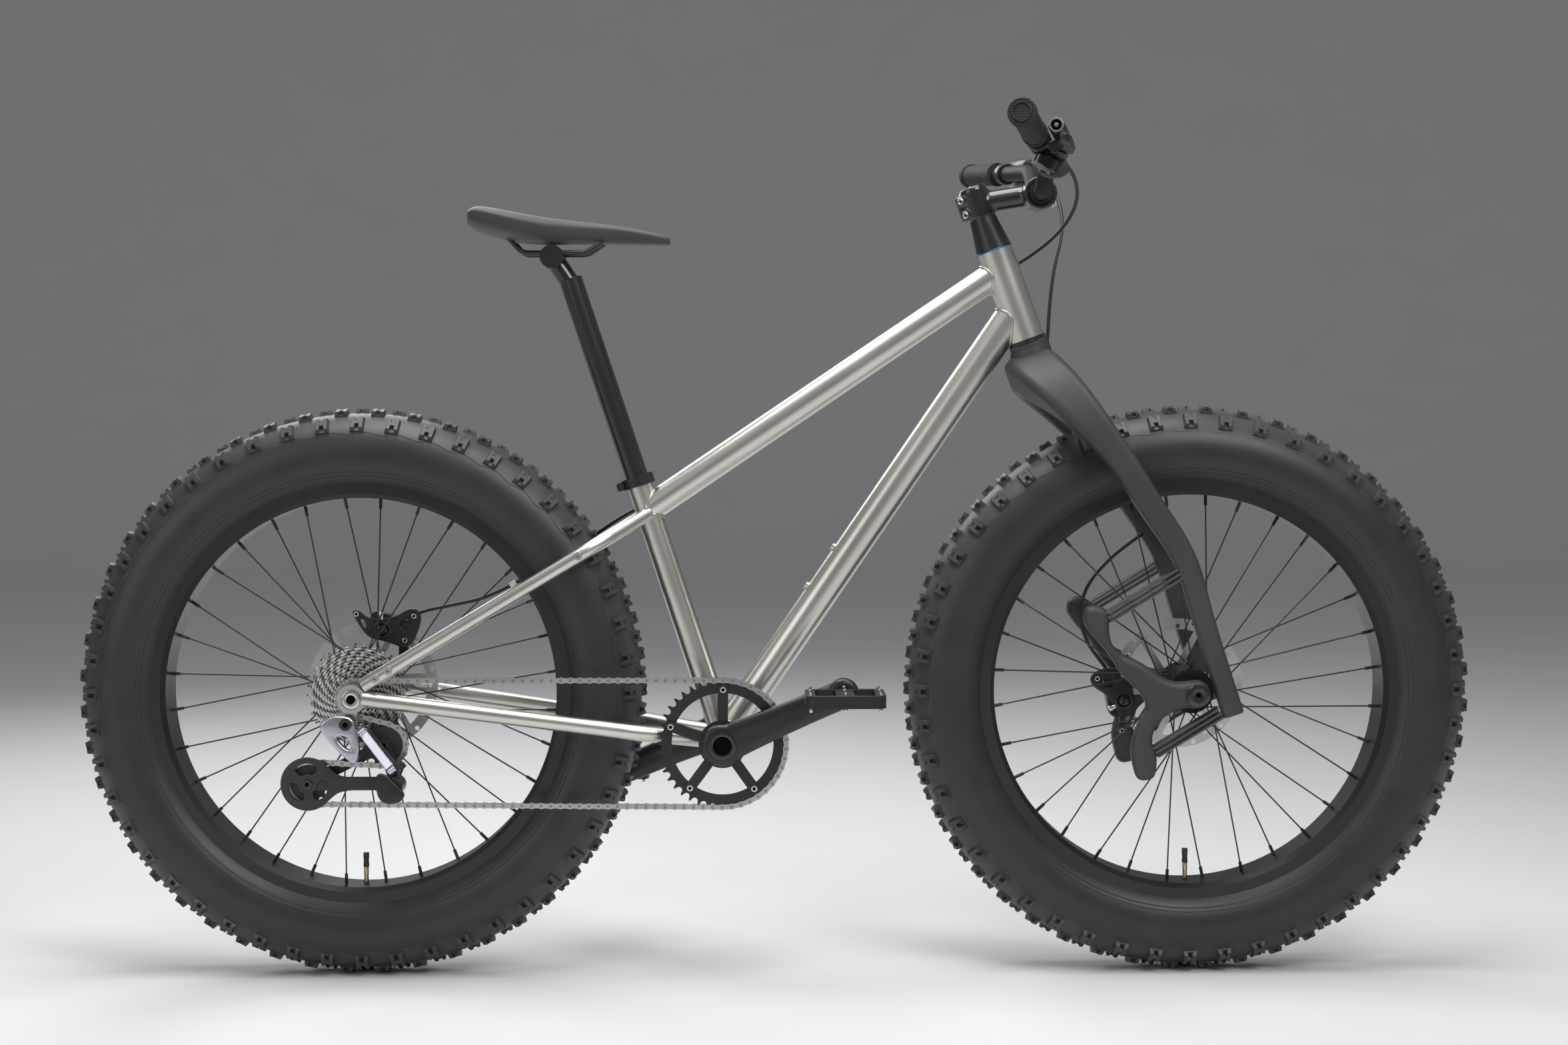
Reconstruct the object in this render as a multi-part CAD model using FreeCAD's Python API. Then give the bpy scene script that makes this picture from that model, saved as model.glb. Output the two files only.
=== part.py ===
"""Fat tyre bicycle: an assembly of separate solids, in millimetres.

+X points forward, +Y to the rider's left and +Z up. The origin is on the ground,
midway between the two axles, in the bicycle's middle plane.
"""
import FreeCAD, Part
import math
import os

V = FreeCAD.Vector
UP = V(0, 0, 1)
ACROSS = V(0, 1, 0)

# Wheels and tyres
WHEELBASE = 1124.0
TYRE_R = 385.0
CASING_R = 55.0
CASING_WALL = 4.0
KNOB_HEIGHT = 5.5
KNOB_COUNT = 36
RIM_EDGE_R = 285.0
RIM_BED_R = 265.0
RIM_WIDTH = 76.0
RIM_WALL = 3.0
SPOKE_COUNT = 32
SPOKE_R = 1.0
NIPPLE_R = 2.2
NIPPLE_LEN = 14.0
VALVE_R = 3.0
VALVE_LEN = 42.0
FLANGE_R = 30.0
FLANGE_THICK = 3.5
HUB_BARREL_R = 17.0
BEARING_R = 14.0
BEARING_WIDTH = 7.0
AXLE_R = 6.0
RUNNING_GAP = 0.05
CLEAR = 0.3
HUB_END = 4.0
AXLE_COLLAR = 6.0

# Rear hub, cassette and chain
REAR_HUB_WIDTH = 197.0
REAR_FLANGE_RIGHT = 41.0
REAR_FLANGE_LEFT = 62.0
CHAIN_LINE = 88.0
COG_TEETH = [11, 12, 13, 14, 15, 17, 19, 21, 24, 27, 30, 33]
COG_STEP = 3.55
COG_THICK = 1.6
COG_ARMS = 6
COG_ARM_ROOT = 4.0
COG_ARM_TIP = 7.0
FREEHUB_R = 17.0
CHAIN_PITCH = 12.7
ROLLER_R = 3.8
PIN_R = 1.8
PLATE_THICK = 0.62
PLATE_GAP = 0.08
PLATE_HALF_HEIGHT = 4.1
INNER_GAP = 2.2
TOOTH_TIP = 3.2
TOOTH_GAP_R = 4.1

# Front hub
FRONT_HUB_WIDTH = 150.0
FRONT_FLANGE_RIGHT = 52.0
FRONT_FLANGE_LEFT = 46.0

# Disc brakes
ROTOR_R = 90.0
ROTOR_BAND = 15.0
ROTOR_THICK = 1.8
REAR_ROTOR_Y = 78.0
FRONT_ROTOR_Y = 61.0
CALIPER_LEN = 62.0
CALIPER_WIDTH = 26.0
CALIPER_SLOT = 4.0
REAR_CALIPER_ANGLE = 17.5
FRONT_CALIPER_ANGLE = -100.0

# Frame
BB_AHEAD = 491.0
BB_DROP = 64.0
BB_WIDTH = 121.0
BB_OUTER_R = 23.0
BB_INNER_R = 20.5
SEAT_ANGLE = 71.8
SEAT_TUBE_LEN = 372.0
SEAT_TUBE_R = 17.5
SEAT_BORE_R = 15.9
HEAD_ANGLE = 70.1
HEAD_BACK = 217.5
HEAD_RISE = 477.0
HEAD_LEN = 128.0
HEAD_R = 25.0
HEAD_BORE_R = 22.0
TOP_TUBE_R = 19.0
TOP_TUBE_AT_SEAT = 327.0
TOP_TUBE_AT_HEAD = 100.0
DOWN_TUBE_R = 22.0
DOWN_TUBE_AT_HEAD = 43.0
TUBE_WALL = 1.5
CHAINSTAY_R = 11.0
SEATSTAY_R = 9.5
STAY_BEND_Y = 77.0
STAY_BEND_BACK = 118.0
STAY_BEND_RADIUS = 120.0
STAY_ROOT_Y = 46.0
STAY_REACH = 15.0
SEATSTAY_AT_SEAT = 322.0
SEATSTAY_ROOT_Y = 12.0
SEATSTAY_BEND_BACK = 70.0
SEATSTAY_BEND_Y = 76.0
SEATSTAY_BEND_RADIUS = 90.0
SEATSTAY_END_RISE = 17.0
DROPOUT_R = 19.0
DROPOUT_THICK = 14.0
EYELET_R = 5.5
EYELET_BORE_R = 2.1
EYELET_HEIGHT = 6.0
EYELET_FLOOR = 0.5
EYELET_PLACES = (22.0, 42.0)
EYELET_TOP_BACK = 24.0
BOSS_R = 6.0
BOSS_HEIGHT = 3.0
BOSS_DEPTH = 9.0
BOSS_BORE_R = 2.1
BOSS_SPACING = 64.0
BOSS_START = 235.0

# Seat post and saddle
POST_R = 15.8
POST_LEN = 400.0
POST_SHOWN = 286.0
POST_WALL = 2.2
COLLAR_R = 22.0
COLLAR_HEIGHT = 14.0
RAIL_R = 3.5
RAIL_Y = 22.0
CLAMP_BACK = 23.5
CLAMP_RISE = 29.0
CLAMP_R = 16.0

# Crank set and pedals
RING_TEETH = 42
RING_THICK = 1.7
RING_BAND = 17.0
SPIDER_ARMS = 5
CRANK_LEN = 175.0
CRANK_ANGLE = 23.0
ARM_INNER_Y = 93.0
ARM_THICK = 15.0
ARM_STEP = 0.8
ARM_FLARE = 9.0
SPINDLE_R = 15.0
PEDAL_LEN = 104.0
PEDAL_WIDTH = 100.0
PEDAL_THICK = 16.0
PEDAL_AXLE_R = 4.5
PEDAL_STAND_OFF = 5.0

# Derailleur
GUIDE_TEETH = 14
TENSION_TEETH = 14
PULLEY_THICK = 1.8
PULLEY_BOLT_R = 3.0
CAGE_THICK = 2.5
CAGE_HALF_GAP = 5.5
GUIDE_AHEAD = 40.0
GUIDE_DROP = 63.0
CAGE_PIVOT_AHEAD = 57.0
CAGE_PIVOT_DROP = 114.0
TENSION_REACH = 115.0
TENSION_REST_ANGLE = 180.0
HANGER_DROP = 32.0
HANGER_BACK = 6.0
LINK_SPAN = V(42.0, -22.0, -48.0)
LINK_SWING = V(0.268, 0.943, -0.198)
LINK_APART = 14.0
LINK_PIN_R = 2.5
LINK_EYE_R = 5.0
SHIFT_SWING = 33.0
SWING_STEPS = 6
LINK_HALF_WIDTH = 6.0
LINK_HALF_THICK = 2.5

# Fork, links and leaf springs
STEERER_R = 14.3
FORK_WALL = 3.0
SEAL_HEIGHT = 12.0
NECK_R = 28.0
LEG_Y = 92.0
LEG_THICK = 26.0
LINK_THICK = 26.0
SPRING_RISE = 31.0
SPRING_WIDTH = 22.0
LEAF_THICK = 3.0
LEAF_STEP = 6.5
LEAF_COUNT = 3
LOW_LEAF_SHARE = 0.65
AXLE_BOSS_R = 17.0

# Cockpit
TOP_RING_HEIGHT = 2.0
SPACER_GAP = 0.5
SPACER_HEIGHT = 45.0
SPACER_TOP_R = 18.0
STEM_HEIGHT = 40.0
STEM_CLAMP_R = 19.0
STEM_NECK_R = 15.0
LUG_HALF = 10.0
FACE_R = 22.0
FACE_HALF_WIDTH = 23.0
FACE_BOLT_OUT = 19.0
BAR_R = 11.1
BAR_CLAMP_R = 15.9
BAR_CLAMP_HALF = 30.0
BAR_BEND_R = 60.0
BAR_AHEAD = 83.5
BAR_BELOW = 16.0
BAR_WIDTH = 760.0
BAR_WALL = 2.0
BAR_RISE = 40.0
BAR_RISE_START = 52.0
BAR_RISE_END = 108.0
BAR_SWEEP_UP = 23.0
BAR_SWEEP_BACK = 62.0
GRIP_LEN = 132.0
GRIP_R = 16.0
RING_WIDTH = 9.0
LEVER_INSET = 36.0
LEVER_RING_BACK = 16.0
LEVER_DROP = 25.0
CYLINDER_R = 9.0
CYLINDER_LEN = 60.0
CYLINDER_INSET = 9.0
HOSE_START_GAP = 0.8
CYLINDER_AHEAD = 26.0
PIVOT_AHEAD = 38.0
BLADE_THICK = 9.0
EAR_THICK = 3.0
LEVER_PIN_R = 2.5
POD_INSET = 34.0
POD_AHEAD = 18.0
POD_DROP = 27.0
POD_HEIGHT = 15.0
HOSE_R = 2.5
CLIP_LEN = 10.0
TOP_CLIP_SHARES = (0.15, 0.45, 0.74)
STAY_CLIP_SHARES = (0.12, 0.38)

# Points that the pieces share
rear_axle = V(-WHEELBASE / 2, 0, TYRE_R)
front_axle = V(WHEELBASE / 2, 0, TYRE_R)
bracket = rear_axle + V(BB_AHEAD, 0, -BB_DROP)
seat_dir = V(-math.cos(math.radians(SEAT_ANGLE)), 0, math.sin(math.radians(SEAT_ANGLE)))
head_dir = V(-math.cos(math.radians(HEAD_ANGLE)), 0, math.sin(math.radians(HEAD_ANGLE)))
head_front = V(head_dir.z, 0, -head_dir.x)
head_base = front_axle + V(-HEAD_BACK, 0, HEAD_RISE)
head_top = head_base + head_dir * HEAD_LEN
seat_top = bracket + seat_dir * SEAT_TUBE_LEN
spring_dir = V(math.cos(math.radians(SPRING_RISE)), 0, math.sin(math.radians(SPRING_RISE)))
travel_dir = V(-spring_dir.z, 0, spring_dir.x)

nodes = {}


def add(name, shape):
    """Keep one finished node under its name."""
    nodes[name] = shape


def group(shapes):
    """Join separate solids in one node without fusing them."""
    return Part.makeCompound(list(shapes))


def rod(start, end, radius):
    """A solid cylinder from one point to another."""
    run = end - start
    return Part.makeCylinder(radius, run.Length, start, run)


def tube(start, end, outer, inner):
    """A hollow round tube from one point to another."""
    return rod(start, end, outer).cut(rod(start, end, inner))


def cone(start, end, radius_start, radius_end):
    """A solid cone between two points."""
    run = end - start
    return Part.makeCone(radius_start, radius_end, run.Length, start, run)


def mirrored(shape):
    """The same piece on the other side of the middle plane."""
    return shape.mirror(V(0, 0, 0), ACROSS)


def turned(shape, centre, angle):
    """A copy turned about a cross axis; positive angles roll forward."""
    copy = shape.copy()
    copy.rotate(centre, ACROSS, angle)
    return copy


def spun(profile, centre):
    """Turn (radius, y) points about the cross axis through a centre."""
    points = [centre + V(radius, y, 0) for radius, y in profile]
    face = Part.Face(Part.makePolygon(points + points[:1]))
    return face.revolve(centre, ACROSS, 360)


def plate(outline, y_low, y_high):
    """Extrude a closed (x, z) polygon across the bicycle."""
    points = [V(x, y_low, z) for x, z in outline]
    face = Part.Face(Part.makePolygon(points + points[:1]))
    return face.extrude(V(0, y_high - y_low, 0))


def disc(centre, radius, y_low, y_high):
    """A cylinder across the bicycle between two y places."""
    base = V(centre.x, y_low, centre.z)
    return Part.makeCylinder(radius, y_high - y_low, base, ACROSS)


def rounded_rect(centre, along, over, half_along, half_over, corner):
    """A closed rounded rectangle about a centre, on two unit axes."""
    def at(a, o):
        return centre + along * a + over * o
    corner = min(corner, 0.98 * half_along, 0.98 * half_over)
    kink = corner * (1 - math.sqrt(0.5))
    a, o = half_along, half_over
    edges = []
    for sa, so in ((1, 1), (-1, 1), (-1, -1), (1, -1)):
        first = at(sa * a, so * (o - corner))
        middle = at(sa * (a - kink), so * (o - kink))
        last = at(sa * (a - corner), so * o)
        if sa * so < 0:
            first, last = last, first
        edges.append(Part.Arc(first, middle, last).toShape())
    wire = []
    for index, arc in enumerate(edges):
        following = edges[(index + 1) % 4]
        wire.append(arc)
        wire.append(Part.LineSegment(arc.lastVertex().Point, following.firstVertex().Point).toShape())
    return Part.Wire(wire)


def bent_path(points, radius=None):
    """Straight runs joined by tangent arcs.

    With no radius given, each arc is as large as its two runs allow.
    """
    edges = []
    start = points[0]
    radii = []
    for index in range(1, len(points) - 1):
        corner = points[index]
        before = points[index - 1] - corner
        after = points[index + 1] - corner
        turn = math.pi - before.getAngle(after)
        shorter = min(before.Length, after.Length)
        reach = 0.45 * shorter if radius is None else radius * math.tan(turn / 2)
        radii.append(reach / math.tan(turn / 2))
        before.normalize()
        after.normalize()
        first = corner + before * reach
        last = corner + after * reach
        halfway = before + after
        halfway.normalize()
        middle = corner + halfway * (radii[-1] / math.cos(turn / 2) - radii[-1])
        edges.append(Part.LineSegment(start, first).toShape())
        edges.append(Part.Arc(first, middle, last).toShape())
        start = last
    edges.append(Part.LineSegment(start, points[-1]).toShape())
    return Part.Wire(edges), radii


def swept(points, size, radius=None):
    """A round rod or hose of one radius along a bent path."""
    path, radii = bent_path(points, radius)
    heading = points[1] - points[0]
    ring = Part.Wire(Part.makeCircle(size, points[0], heading))
    solid = path.makePipeShell([ring], True, False)
    return solid, path.Length, radii


def bent_tube(points, outer, inner, radius):
    """A hollow tube along a bent path."""
    return swept(points, outer, radius)[0].cut(swept(points, inner, radius)[0])


def casing_centre_r():
    """Radius from the axle to the middle of the tyre's round section."""
    return TYRE_R - KNOB_HEIGHT - CASING_R


def tyre_casing(centre):
    """An open ring of round section whose beads sit on the rim's two edges."""
    middle = casing_centre_r()
    drop = middle - RIM_EDGE_R
    inner = CASING_R - CASING_WALL
    half_outer = math.sqrt(CASING_R ** 2 - drop ** 2)
    half_inner = math.sqrt(inner ** 2 - drop ** 2)

    def at(radius, y):
        return centre + V(radius, y, 0)
    outer_arc = Part.Arc(at(RIM_EDGE_R, -half_outer), at(middle + CASING_R, 0), at(RIM_EDGE_R, half_outer))
    inner_arc = Part.Arc(at(RIM_EDGE_R, half_inner), at(middle + inner, 0), at(RIM_EDGE_R, -half_inner))
    bead_left = Part.LineSegment(at(RIM_EDGE_R, half_outer), at(RIM_EDGE_R, half_inner))
    bead_right = Part.LineSegment(at(RIM_EDGE_R, -half_inner), at(RIM_EDGE_R, -half_outer))
    edges = [item.toShape() for item in (outer_arc, bead_left, inner_arc, bead_right)]
    return Part.Face(Part.Wire(edges)).revolve(centre, ACROSS, 360)


def knob_row(centre, lean, length, width, phase):
    """One row of tread blocks round the tyre, each cut to sit on the casing.

    lean is the row's angle in the tyre's section, from the tread's middle.
    """
    middle = casing_centre_r()
    angle = math.radians(lean)
    outward = V(math.cos(angle), math.sin(angle), 0)
    sideways = V(-math.sin(angle), math.cos(angle), 0)
    base = centre + V(middle, 0, 0) + outward * (CASING_R - KNOB_HEIGHT)
    foot = [base + sideways * (s * width / 2) + UP * (t * length / 2)
            for s, t in ((-1, -1), (1, -1), (1, 1), (-1, 1))]
    block = Part.Face(Part.makePolygon(foot + foot[:1])).extrude(outward * 2 * KNOB_HEIGHT)
    torus = Part.makeTorus(middle, CASING_R, centre, ACROSS)
    rolling = disc(centre, TYRE_R, -2 * CASING_R, 2 * CASING_R)
    block = block.common(rolling).cut(torus)
    step = 360.0 / KNOB_COUNT
    return [turned(block, centre, (index + phase) * step) for index in range(KNOB_COUNT)]


def rim_ring(centre):
    """A wide channel rim with two edges that carry the tyre's beads."""
    half = RIM_WIDTH / 2
    bed = RIM_BED_R + 2 * RIM_WALL
    slope = 8.0
    profile = [(RIM_EDGE_R, -half), (RIM_EDGE_R, -half + RIM_WALL), (bed, -half + RIM_WALL),
               (bed, half - RIM_WALL), (RIM_EDGE_R, half - RIM_WALL), (RIM_EDGE_R, half),
               (bed, half), (RIM_BED_R, half - slope), (RIM_BED_R, slope - half), (bed, -half)]
    return spun(profile, centre)


def spoke_solid(start, end):
    """One spoke with its nipple, as a stepped round rod."""
    run = end - start
    neck = run.Length - NIPPLE_LEN
    profile = [V(0, 0, 0), V(SPOKE_R, 0, 0), V(SPOKE_R, 0, neck), V(NIPPLE_R, 0, neck),
               V(NIPPLE_R, 0, run.Length), V(0, 0, run.Length)]
    solid = Part.Face(Part.makePolygon(profile + profile[:1])).revolve(V(0, 0, 0), UP, 360)
    solid.Placement = FreeCAD.Placement(start, FreeCAD.Rotation(UP, run))
    return solid


def spoke_set(centre, flange_right, flange_left):
    """Crossed spokes from both flanges to the rim, alternating about each flange."""
    per_side = SPOKE_COUNT // 2
    step = 2 * math.pi / per_side
    cross = 2.25 * step
    rim_offset = 9.0
    root = FLANGE_R - 3.5
    tip = RIM_BED_R - 0.5
    spokes = []
    for side, flange in ((-1, flange_right), (1, flange_left)):
        for index in range(per_side):
            lead = 1 if index % 2 else -1
            rim_angle = (index + (0.25 if side > 0 else -0.25)) * step
            hub_angle = rim_angle + lead * cross
            stand = flange + lead * (FLANGE_THICK / 2 + SPOKE_R)
            start = centre + V(root * math.cos(hub_angle), side * stand, root * math.sin(hub_angle))
            end = centre + V(tip * math.cos(rim_angle), side * rim_offset, tip * math.sin(rim_angle))
            spokes.append(spoke_solid(start, end))
    return group(spokes)


def hub_shell(centre, y_right, y_left, flange_right, flange_left):
    """A turned hub body with two spoke flanges, bearing seats and a rotor seat."""
    half = FLANGE_THICK / 2
    nose = BEARING_R + 3.0
    bore = AXLE_R + 2.0
    seat = BEARING_R
    profile = [(nose, y_left), (nose, flange_left + half), (FLANGE_R, flange_left + half),
               (FLANGE_R, flange_left - half), (HUB_BARREL_R, flange_left - 3 * half),
               (HUB_BARREL_R, 3 * half - flange_right), (FLANGE_R, half - flange_right),
               (FLANGE_R, -half - flange_right), (nose, -half - flange_right), (nose, y_right),
               (seat, y_right), (seat, y_right + BEARING_WIDTH), (bore, y_right + BEARING_WIDTH),
               (bore, y_left - BEARING_WIDTH), (seat, y_left - BEARING_WIDTH), (seat, y_left)]
    return spun(profile, centre)


def bearing_ring(centre, y_low):
    """One sealed bearing that fills its seat and runs on the axle."""
    inner = AXLE_R + RUNNING_GAP
    y_high = y_low + BEARING_WIDTH
    return spun([(BEARING_R, y_low), (BEARING_R, y_high), (inner, y_high), (inner, y_low)], centre)


def rotor_disc(centre, y_middle):
    """A brake rotor: a drilled band on slanted arms round a lock ring."""
    low = y_middle - ROTOR_THICK / 2
    high = y_middle + ROTOR_THICK / 2
    inner = ROTOR_R - ROTOR_BAND
    eye = BEARING_R + 3.0
    boss = eye + 8.0
    band = spun([(ROTOR_R, low), (ROTOR_R, high), (inner, high), (inner, low)], centre)
    lock = spun([(boss, low), (boss, high), (eye, high), (eye, low)], centre)
    arm_count = 6
    arm_half = 5.0
    lean = 30.0
    arms = []
    for index in range(arm_count):
        arm = plate([(centre.x - arm_half, centre.z + boss - 4), (centre.x + arm_half, centre.z + boss - 4),
                     (centre.x + arm_half + lean, centre.z + inner + 2),
                     (centre.x - arm_half + lean, centre.z + inner + 2)], low, high)
        arms.append(turned(arm, centre, index * 360.0 / arm_count))
    body = band.multiFuse([lock] + arms)
    hole_count = 24
    hole_r = 3.2
    mid = ROTOR_R - ROTOR_BAND / 2
    holes = []
    for index in range(hole_count):
        angle = 2 * math.pi * index / hole_count
        reach = mid + (3.0 if index % 2 else -3.0)
        place = centre + V(reach * math.cos(angle), 0, reach * math.sin(angle))
        holes.append(disc(place, hole_r, low - 1, high + 1))
    return body.cut(group(holes)).removeSplitter()


def valve(centre):
    """A tyre valve that stands on the rim bed at the wheel's bottom."""
    top = centre - UP * (RIM_BED_R - 0.2)
    neck = top + UP * (VALVE_LEN * 0.55)
    stem = rod(top, neck, VALVE_R)
    cap = rod(neck, top + UP * VALVE_LEN, VALVE_R + 0.6)
    return stem.fuse(cap)


def wheel(end, centre, y_right, y_left, flange_right, flange_left, rotor_y):
    """Every piece of one wheel."""
    rows = [(14.0, 24.0, 20.0, 0.0), (-14.0, 24.0, 20.0, 0.5),
            (44.0, 20.0, 24.0, 0.5), (-44.0, 20.0, 24.0, 0.0)]
    knobs = []
    for lean, length, width, phase in rows:
        knobs += knob_row(centre, lean, length, width, phase)
    add(end + "_tyre", tyre_casing(centre).multiFuse(knobs))
    add(end + "_rim", rim_ring(centre))
    add(end + "_spokes", spoke_set(centre, flange_right, flange_left))
    add(end + "_hub_shell", hub_shell(centre, y_right, y_left, flange_right, flange_left))
    add(end + "_hub_bearings", group([bearing_ring(centre, y_right),
                                      bearing_ring(centre, y_left - BEARING_WIDTH)]))
    add(end + "_rotor", rotor_disc(centre, rotor_y))
    add(end + "_valve", valve(centre))


def along(start, end, share):
    """The point at a share of the way between two points."""
    return start + (end - start) * share


def main_tubes():
    """Head, top, down and seat tubes and the bracket shell, mitred to each other."""
    top_start = bracket + seat_dir * TOP_TUBE_AT_SEAT
    top_end = head_base + head_dir * TOP_TUBE_AT_HEAD
    down_end = head_base + head_dir * DOWN_TUBE_AT_HEAD
    head_rod = rod(head_base, head_top, HEAD_R)
    seat_rod = rod(bracket, seat_top, SEAT_TUBE_R)
    top_rod = rod(top_start, top_end, TOP_TUBE_R)
    shell_rod = disc(bracket, BB_OUTER_R, -BB_WIDTH / 2, BB_WIDTH / 2)
    add("head_tube", tube(head_base, head_top, HEAD_R, HEAD_BORE_R))
    add("seat_tube", tube(bracket, seat_top, SEAT_TUBE_R, SEAT_BORE_R).cut(shell_rod))
    add("top_tube", tube(top_start, top_end, TOP_TUBE_R, TOP_TUBE_R - TUBE_WALL).cut(head_rod).cut(seat_rod))
    shell = shell_rod.cut(disc(bracket, BB_INNER_R, -BB_WIDTH / 2, BB_WIDTH / 2))
    add("bracket_shell", shell)
    down = tube(bracket, down_end, DOWN_TUBE_R, DOWN_TUBE_R - TUBE_WALL)
    cup_rod = rod(head_base - head_dir * SEAL_HEIGHT, head_base, HEAD_R + 1.5)
    down = down.cut(shell_rod).cut(head_rod).cut(cup_rod).cut(seat_rod).cut(top_rod)
    run = down_end - bracket
    run.normalize()
    upper = V(-run.z, 0, run.x)
    for index in range(2):
        foot = bracket + run * (BOSS_START + index * BOSS_SPACING)
        inside = foot + upper * (DOWN_TUBE_R - TUBE_WALL - BOSS_DEPTH)
        face = foot + upper * (DOWN_TUBE_R + BOSS_HEIGHT)
        down = down.fuse(rod(inside, face, BOSS_R)).cut(rod(face - upper * BOSS_DEPTH, face, BOSS_BORE_R))
    add("down_tube", max(down.Solids, key=lambda solid: solid.Volume))


def dropout_y():
    """Where the middle of each dropout lies, across the bicycle."""
    return REAR_HUB_WIDTH / 2 + DROPOUT_THICK / 2


def seatstay_points():
    """The left seatstay's root, bend and end."""
    root = bracket + seat_dir * SEATSTAY_AT_SEAT
    end = rear_axle + V(DROPOUT_R * 0.7, 0, SEATSTAY_END_RISE)
    bend = along(root, end, SEATSTAY_BEND_BACK / (root.x - end.x))
    return [root + ACROSS * SEATSTAY_ROOT_Y, bend + ACROSS * SEATSTAY_BEND_Y, end + ACROSS * dropout_y()]


def eyelet_places():
    """How far each eyelet of a seatstay is from its lower end."""
    root, bend, end = seatstay_points()
    return list(EYELET_PLACES) + [(end - bend).Length - EYELET_TOP_BACK]


def eyelets(stay):
    """Three threaded bosses that stand on the outer side of the left seatstay."""
    bend, low = seatstay_points()[1:]
    bosses = []
    for distance in eyelet_places():
        spot = along(low, bend, distance / (low - bend).Length)
        face = spot + ACROSS * (SEATSTAY_R + EYELET_HEIGHT)
        floor = spot + ACROSS * (SEATSTAY_R + EYELET_FLOOR)
        boss = rod(spot, face, EYELET_R).cut(stay)
        boss = max(boss.Solids, key=lambda piece: piece.CenterOfMass.y)
        bosses.append(boss.cut(rod(floor, face, EYELET_BORE_R)))
    return group(bosses)


def stays():
    """Both pairs of stays, bent out round the tyre, and the hooded dropouts."""
    hood = disc(rear_axle, DROPOUT_R, dropout_y() - DROPOUT_THICK / 2, dropout_y() + DROPOUT_THICK / 2)
    shell_rod = disc(bracket, BB_OUTER_R, -BB_WIDTH / 2, BB_WIDTH / 2)
    seat_rod = rod(bracket, seat_top, SEAT_TUBE_R)
    root = bracket - V(STAY_REACH, 0, 0)
    end = rear_axle + V(DROPOUT_R * 0.7, 0, 0)
    bend = along(root, end, (STAY_BEND_BACK - STAY_REACH) / (root.x - end.x))
    lower = [root + ACROSS * STAY_ROOT_Y, bend + ACROSS * STAY_BEND_Y, end + ACROSS * dropout_y()]
    upper = seatstay_points()
    chainstay = bent_tube(lower, CHAINSTAY_R, CHAINSTAY_R - TUBE_WALL, STAY_BEND_RADIUS)
    chainstay = chainstay.cut(shell_rod).cut(hood)
    seatstay = bent_tube(upper, SEATSTAY_R, SEATSTAY_R - TUBE_WALL, SEATSTAY_BEND_RADIUS)
    top_rod = rod(bracket + seat_dir * TOP_TUBE_AT_SEAT, head_base + head_dir * TOP_TUBE_AT_HEAD, TOP_TUBE_R)
    seatstay = seatstay.cut(seat_rod).cut(top_rod).cut(hood).cut(rod(lower[1], lower[2], CHAINSTAY_R))
    seatstay = max(seatstay.Solids, key=lambda solid: solid.Volume)
    chainstay = max(chainstay.Solids, key=lambda solid: solid.Volume)
    bore = disc(rear_axle, AXLE_R, 0, 2 * dropout_y())
    recess = disc(rear_axle, DROPOUT_R - 5.0, dropout_y() + DROPOUT_THICK / 2 - 2.5, 2 * dropout_y())
    dropout = hood.cut(bore).cut(recess)
    for name, shape in (("chainstay", chainstay), ("seatstay", seatstay), ("dropout", dropout),
                        ("eyelets", eyelets(seatstay))):
        add("left_" + name, shape)
        add("right_" + name, mirrored(shape))


def rear_axle_pin():
    """The through axle with the end sleeves that space the hub in the frame."""
    end = dropout_y() + DROPOUT_THICK / 2
    head = DROPOUT_R - 7.0
    collar = AXLE_R + 3.0
    face = REAR_HUB_WIDTH / 2
    left = face - AXLE_COLLAR
    right = CHAIN_LINE + 5.0
    profile = [(0, -end), (head, -end), (head, -end + 2.5), (AXLE_R, -end + 2.5), (AXLE_R, -face),
               (collar, -face), (collar, -right - CLEAR), (AXLE_R, -right - CLEAR), (AXLE_R, left + CLEAR),
               (collar, left + CLEAR), (collar, face), (AXLE_R, face), (AXLE_R, end - 2.5),
               (head, end - 2.5), (head, end), (0, end)]
    pin = spun(profile, rear_axle)
    socket = disc(rear_axle, 3.2, -end, -end + 8.0)
    add("rear_axle", pin.cut(socket))


def seat_collar():
    """The clamp ring on the seat tube's mouth, with its bolt behind."""
    low = seat_top - seat_dir * (COLLAR_HEIGHT - 3.0)
    high = seat_top + seat_dir * 3.0
    ring = rod(low, high, COLLAR_R).cut(rod(low, high, SEAT_TUBE_R))
    lip = tube(seat_top, high, SEAT_TUBE_R + 1, POST_R + CLEAR)
    back = V(-seat_dir.z, 0, seat_dir.x)
    middle = along(low, high, 0.5) + back * (COLLAR_R + 2.0)
    ear = rounded_rect(middle - ACROSS * 8, back, seat_dir, 6.0, 5.5, 3.0)
    ear = Part.Face(ear).extrude(ACROSS * 16)
    slot = rounded_rect(middle - ACROSS * 1, back, seat_dir, 9.0, COLLAR_HEIGHT, 1.0)
    slot = Part.Face(slot).extrude(ACROSS * 2)
    hole = rod(middle - ACROSS * 12, middle + ACROSS * 12, 2.6)
    body = ring.fuse(lip).fuse(ear.cut(rod(low, high, SEAT_TUBE_R + 1))).cut(slot).cut(hole)
    bolt = rod(middle - ACROSS * 8, middle + ACROSS * 9, 2.5).fuse(
        rod(middle - ACROSS * 12, middle - ACROSS * 8, 4.2))
    add("seat_collar", max(body.Solids, key=lambda solid: solid.Volume))
    add("collar_bolt", bolt)


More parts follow.
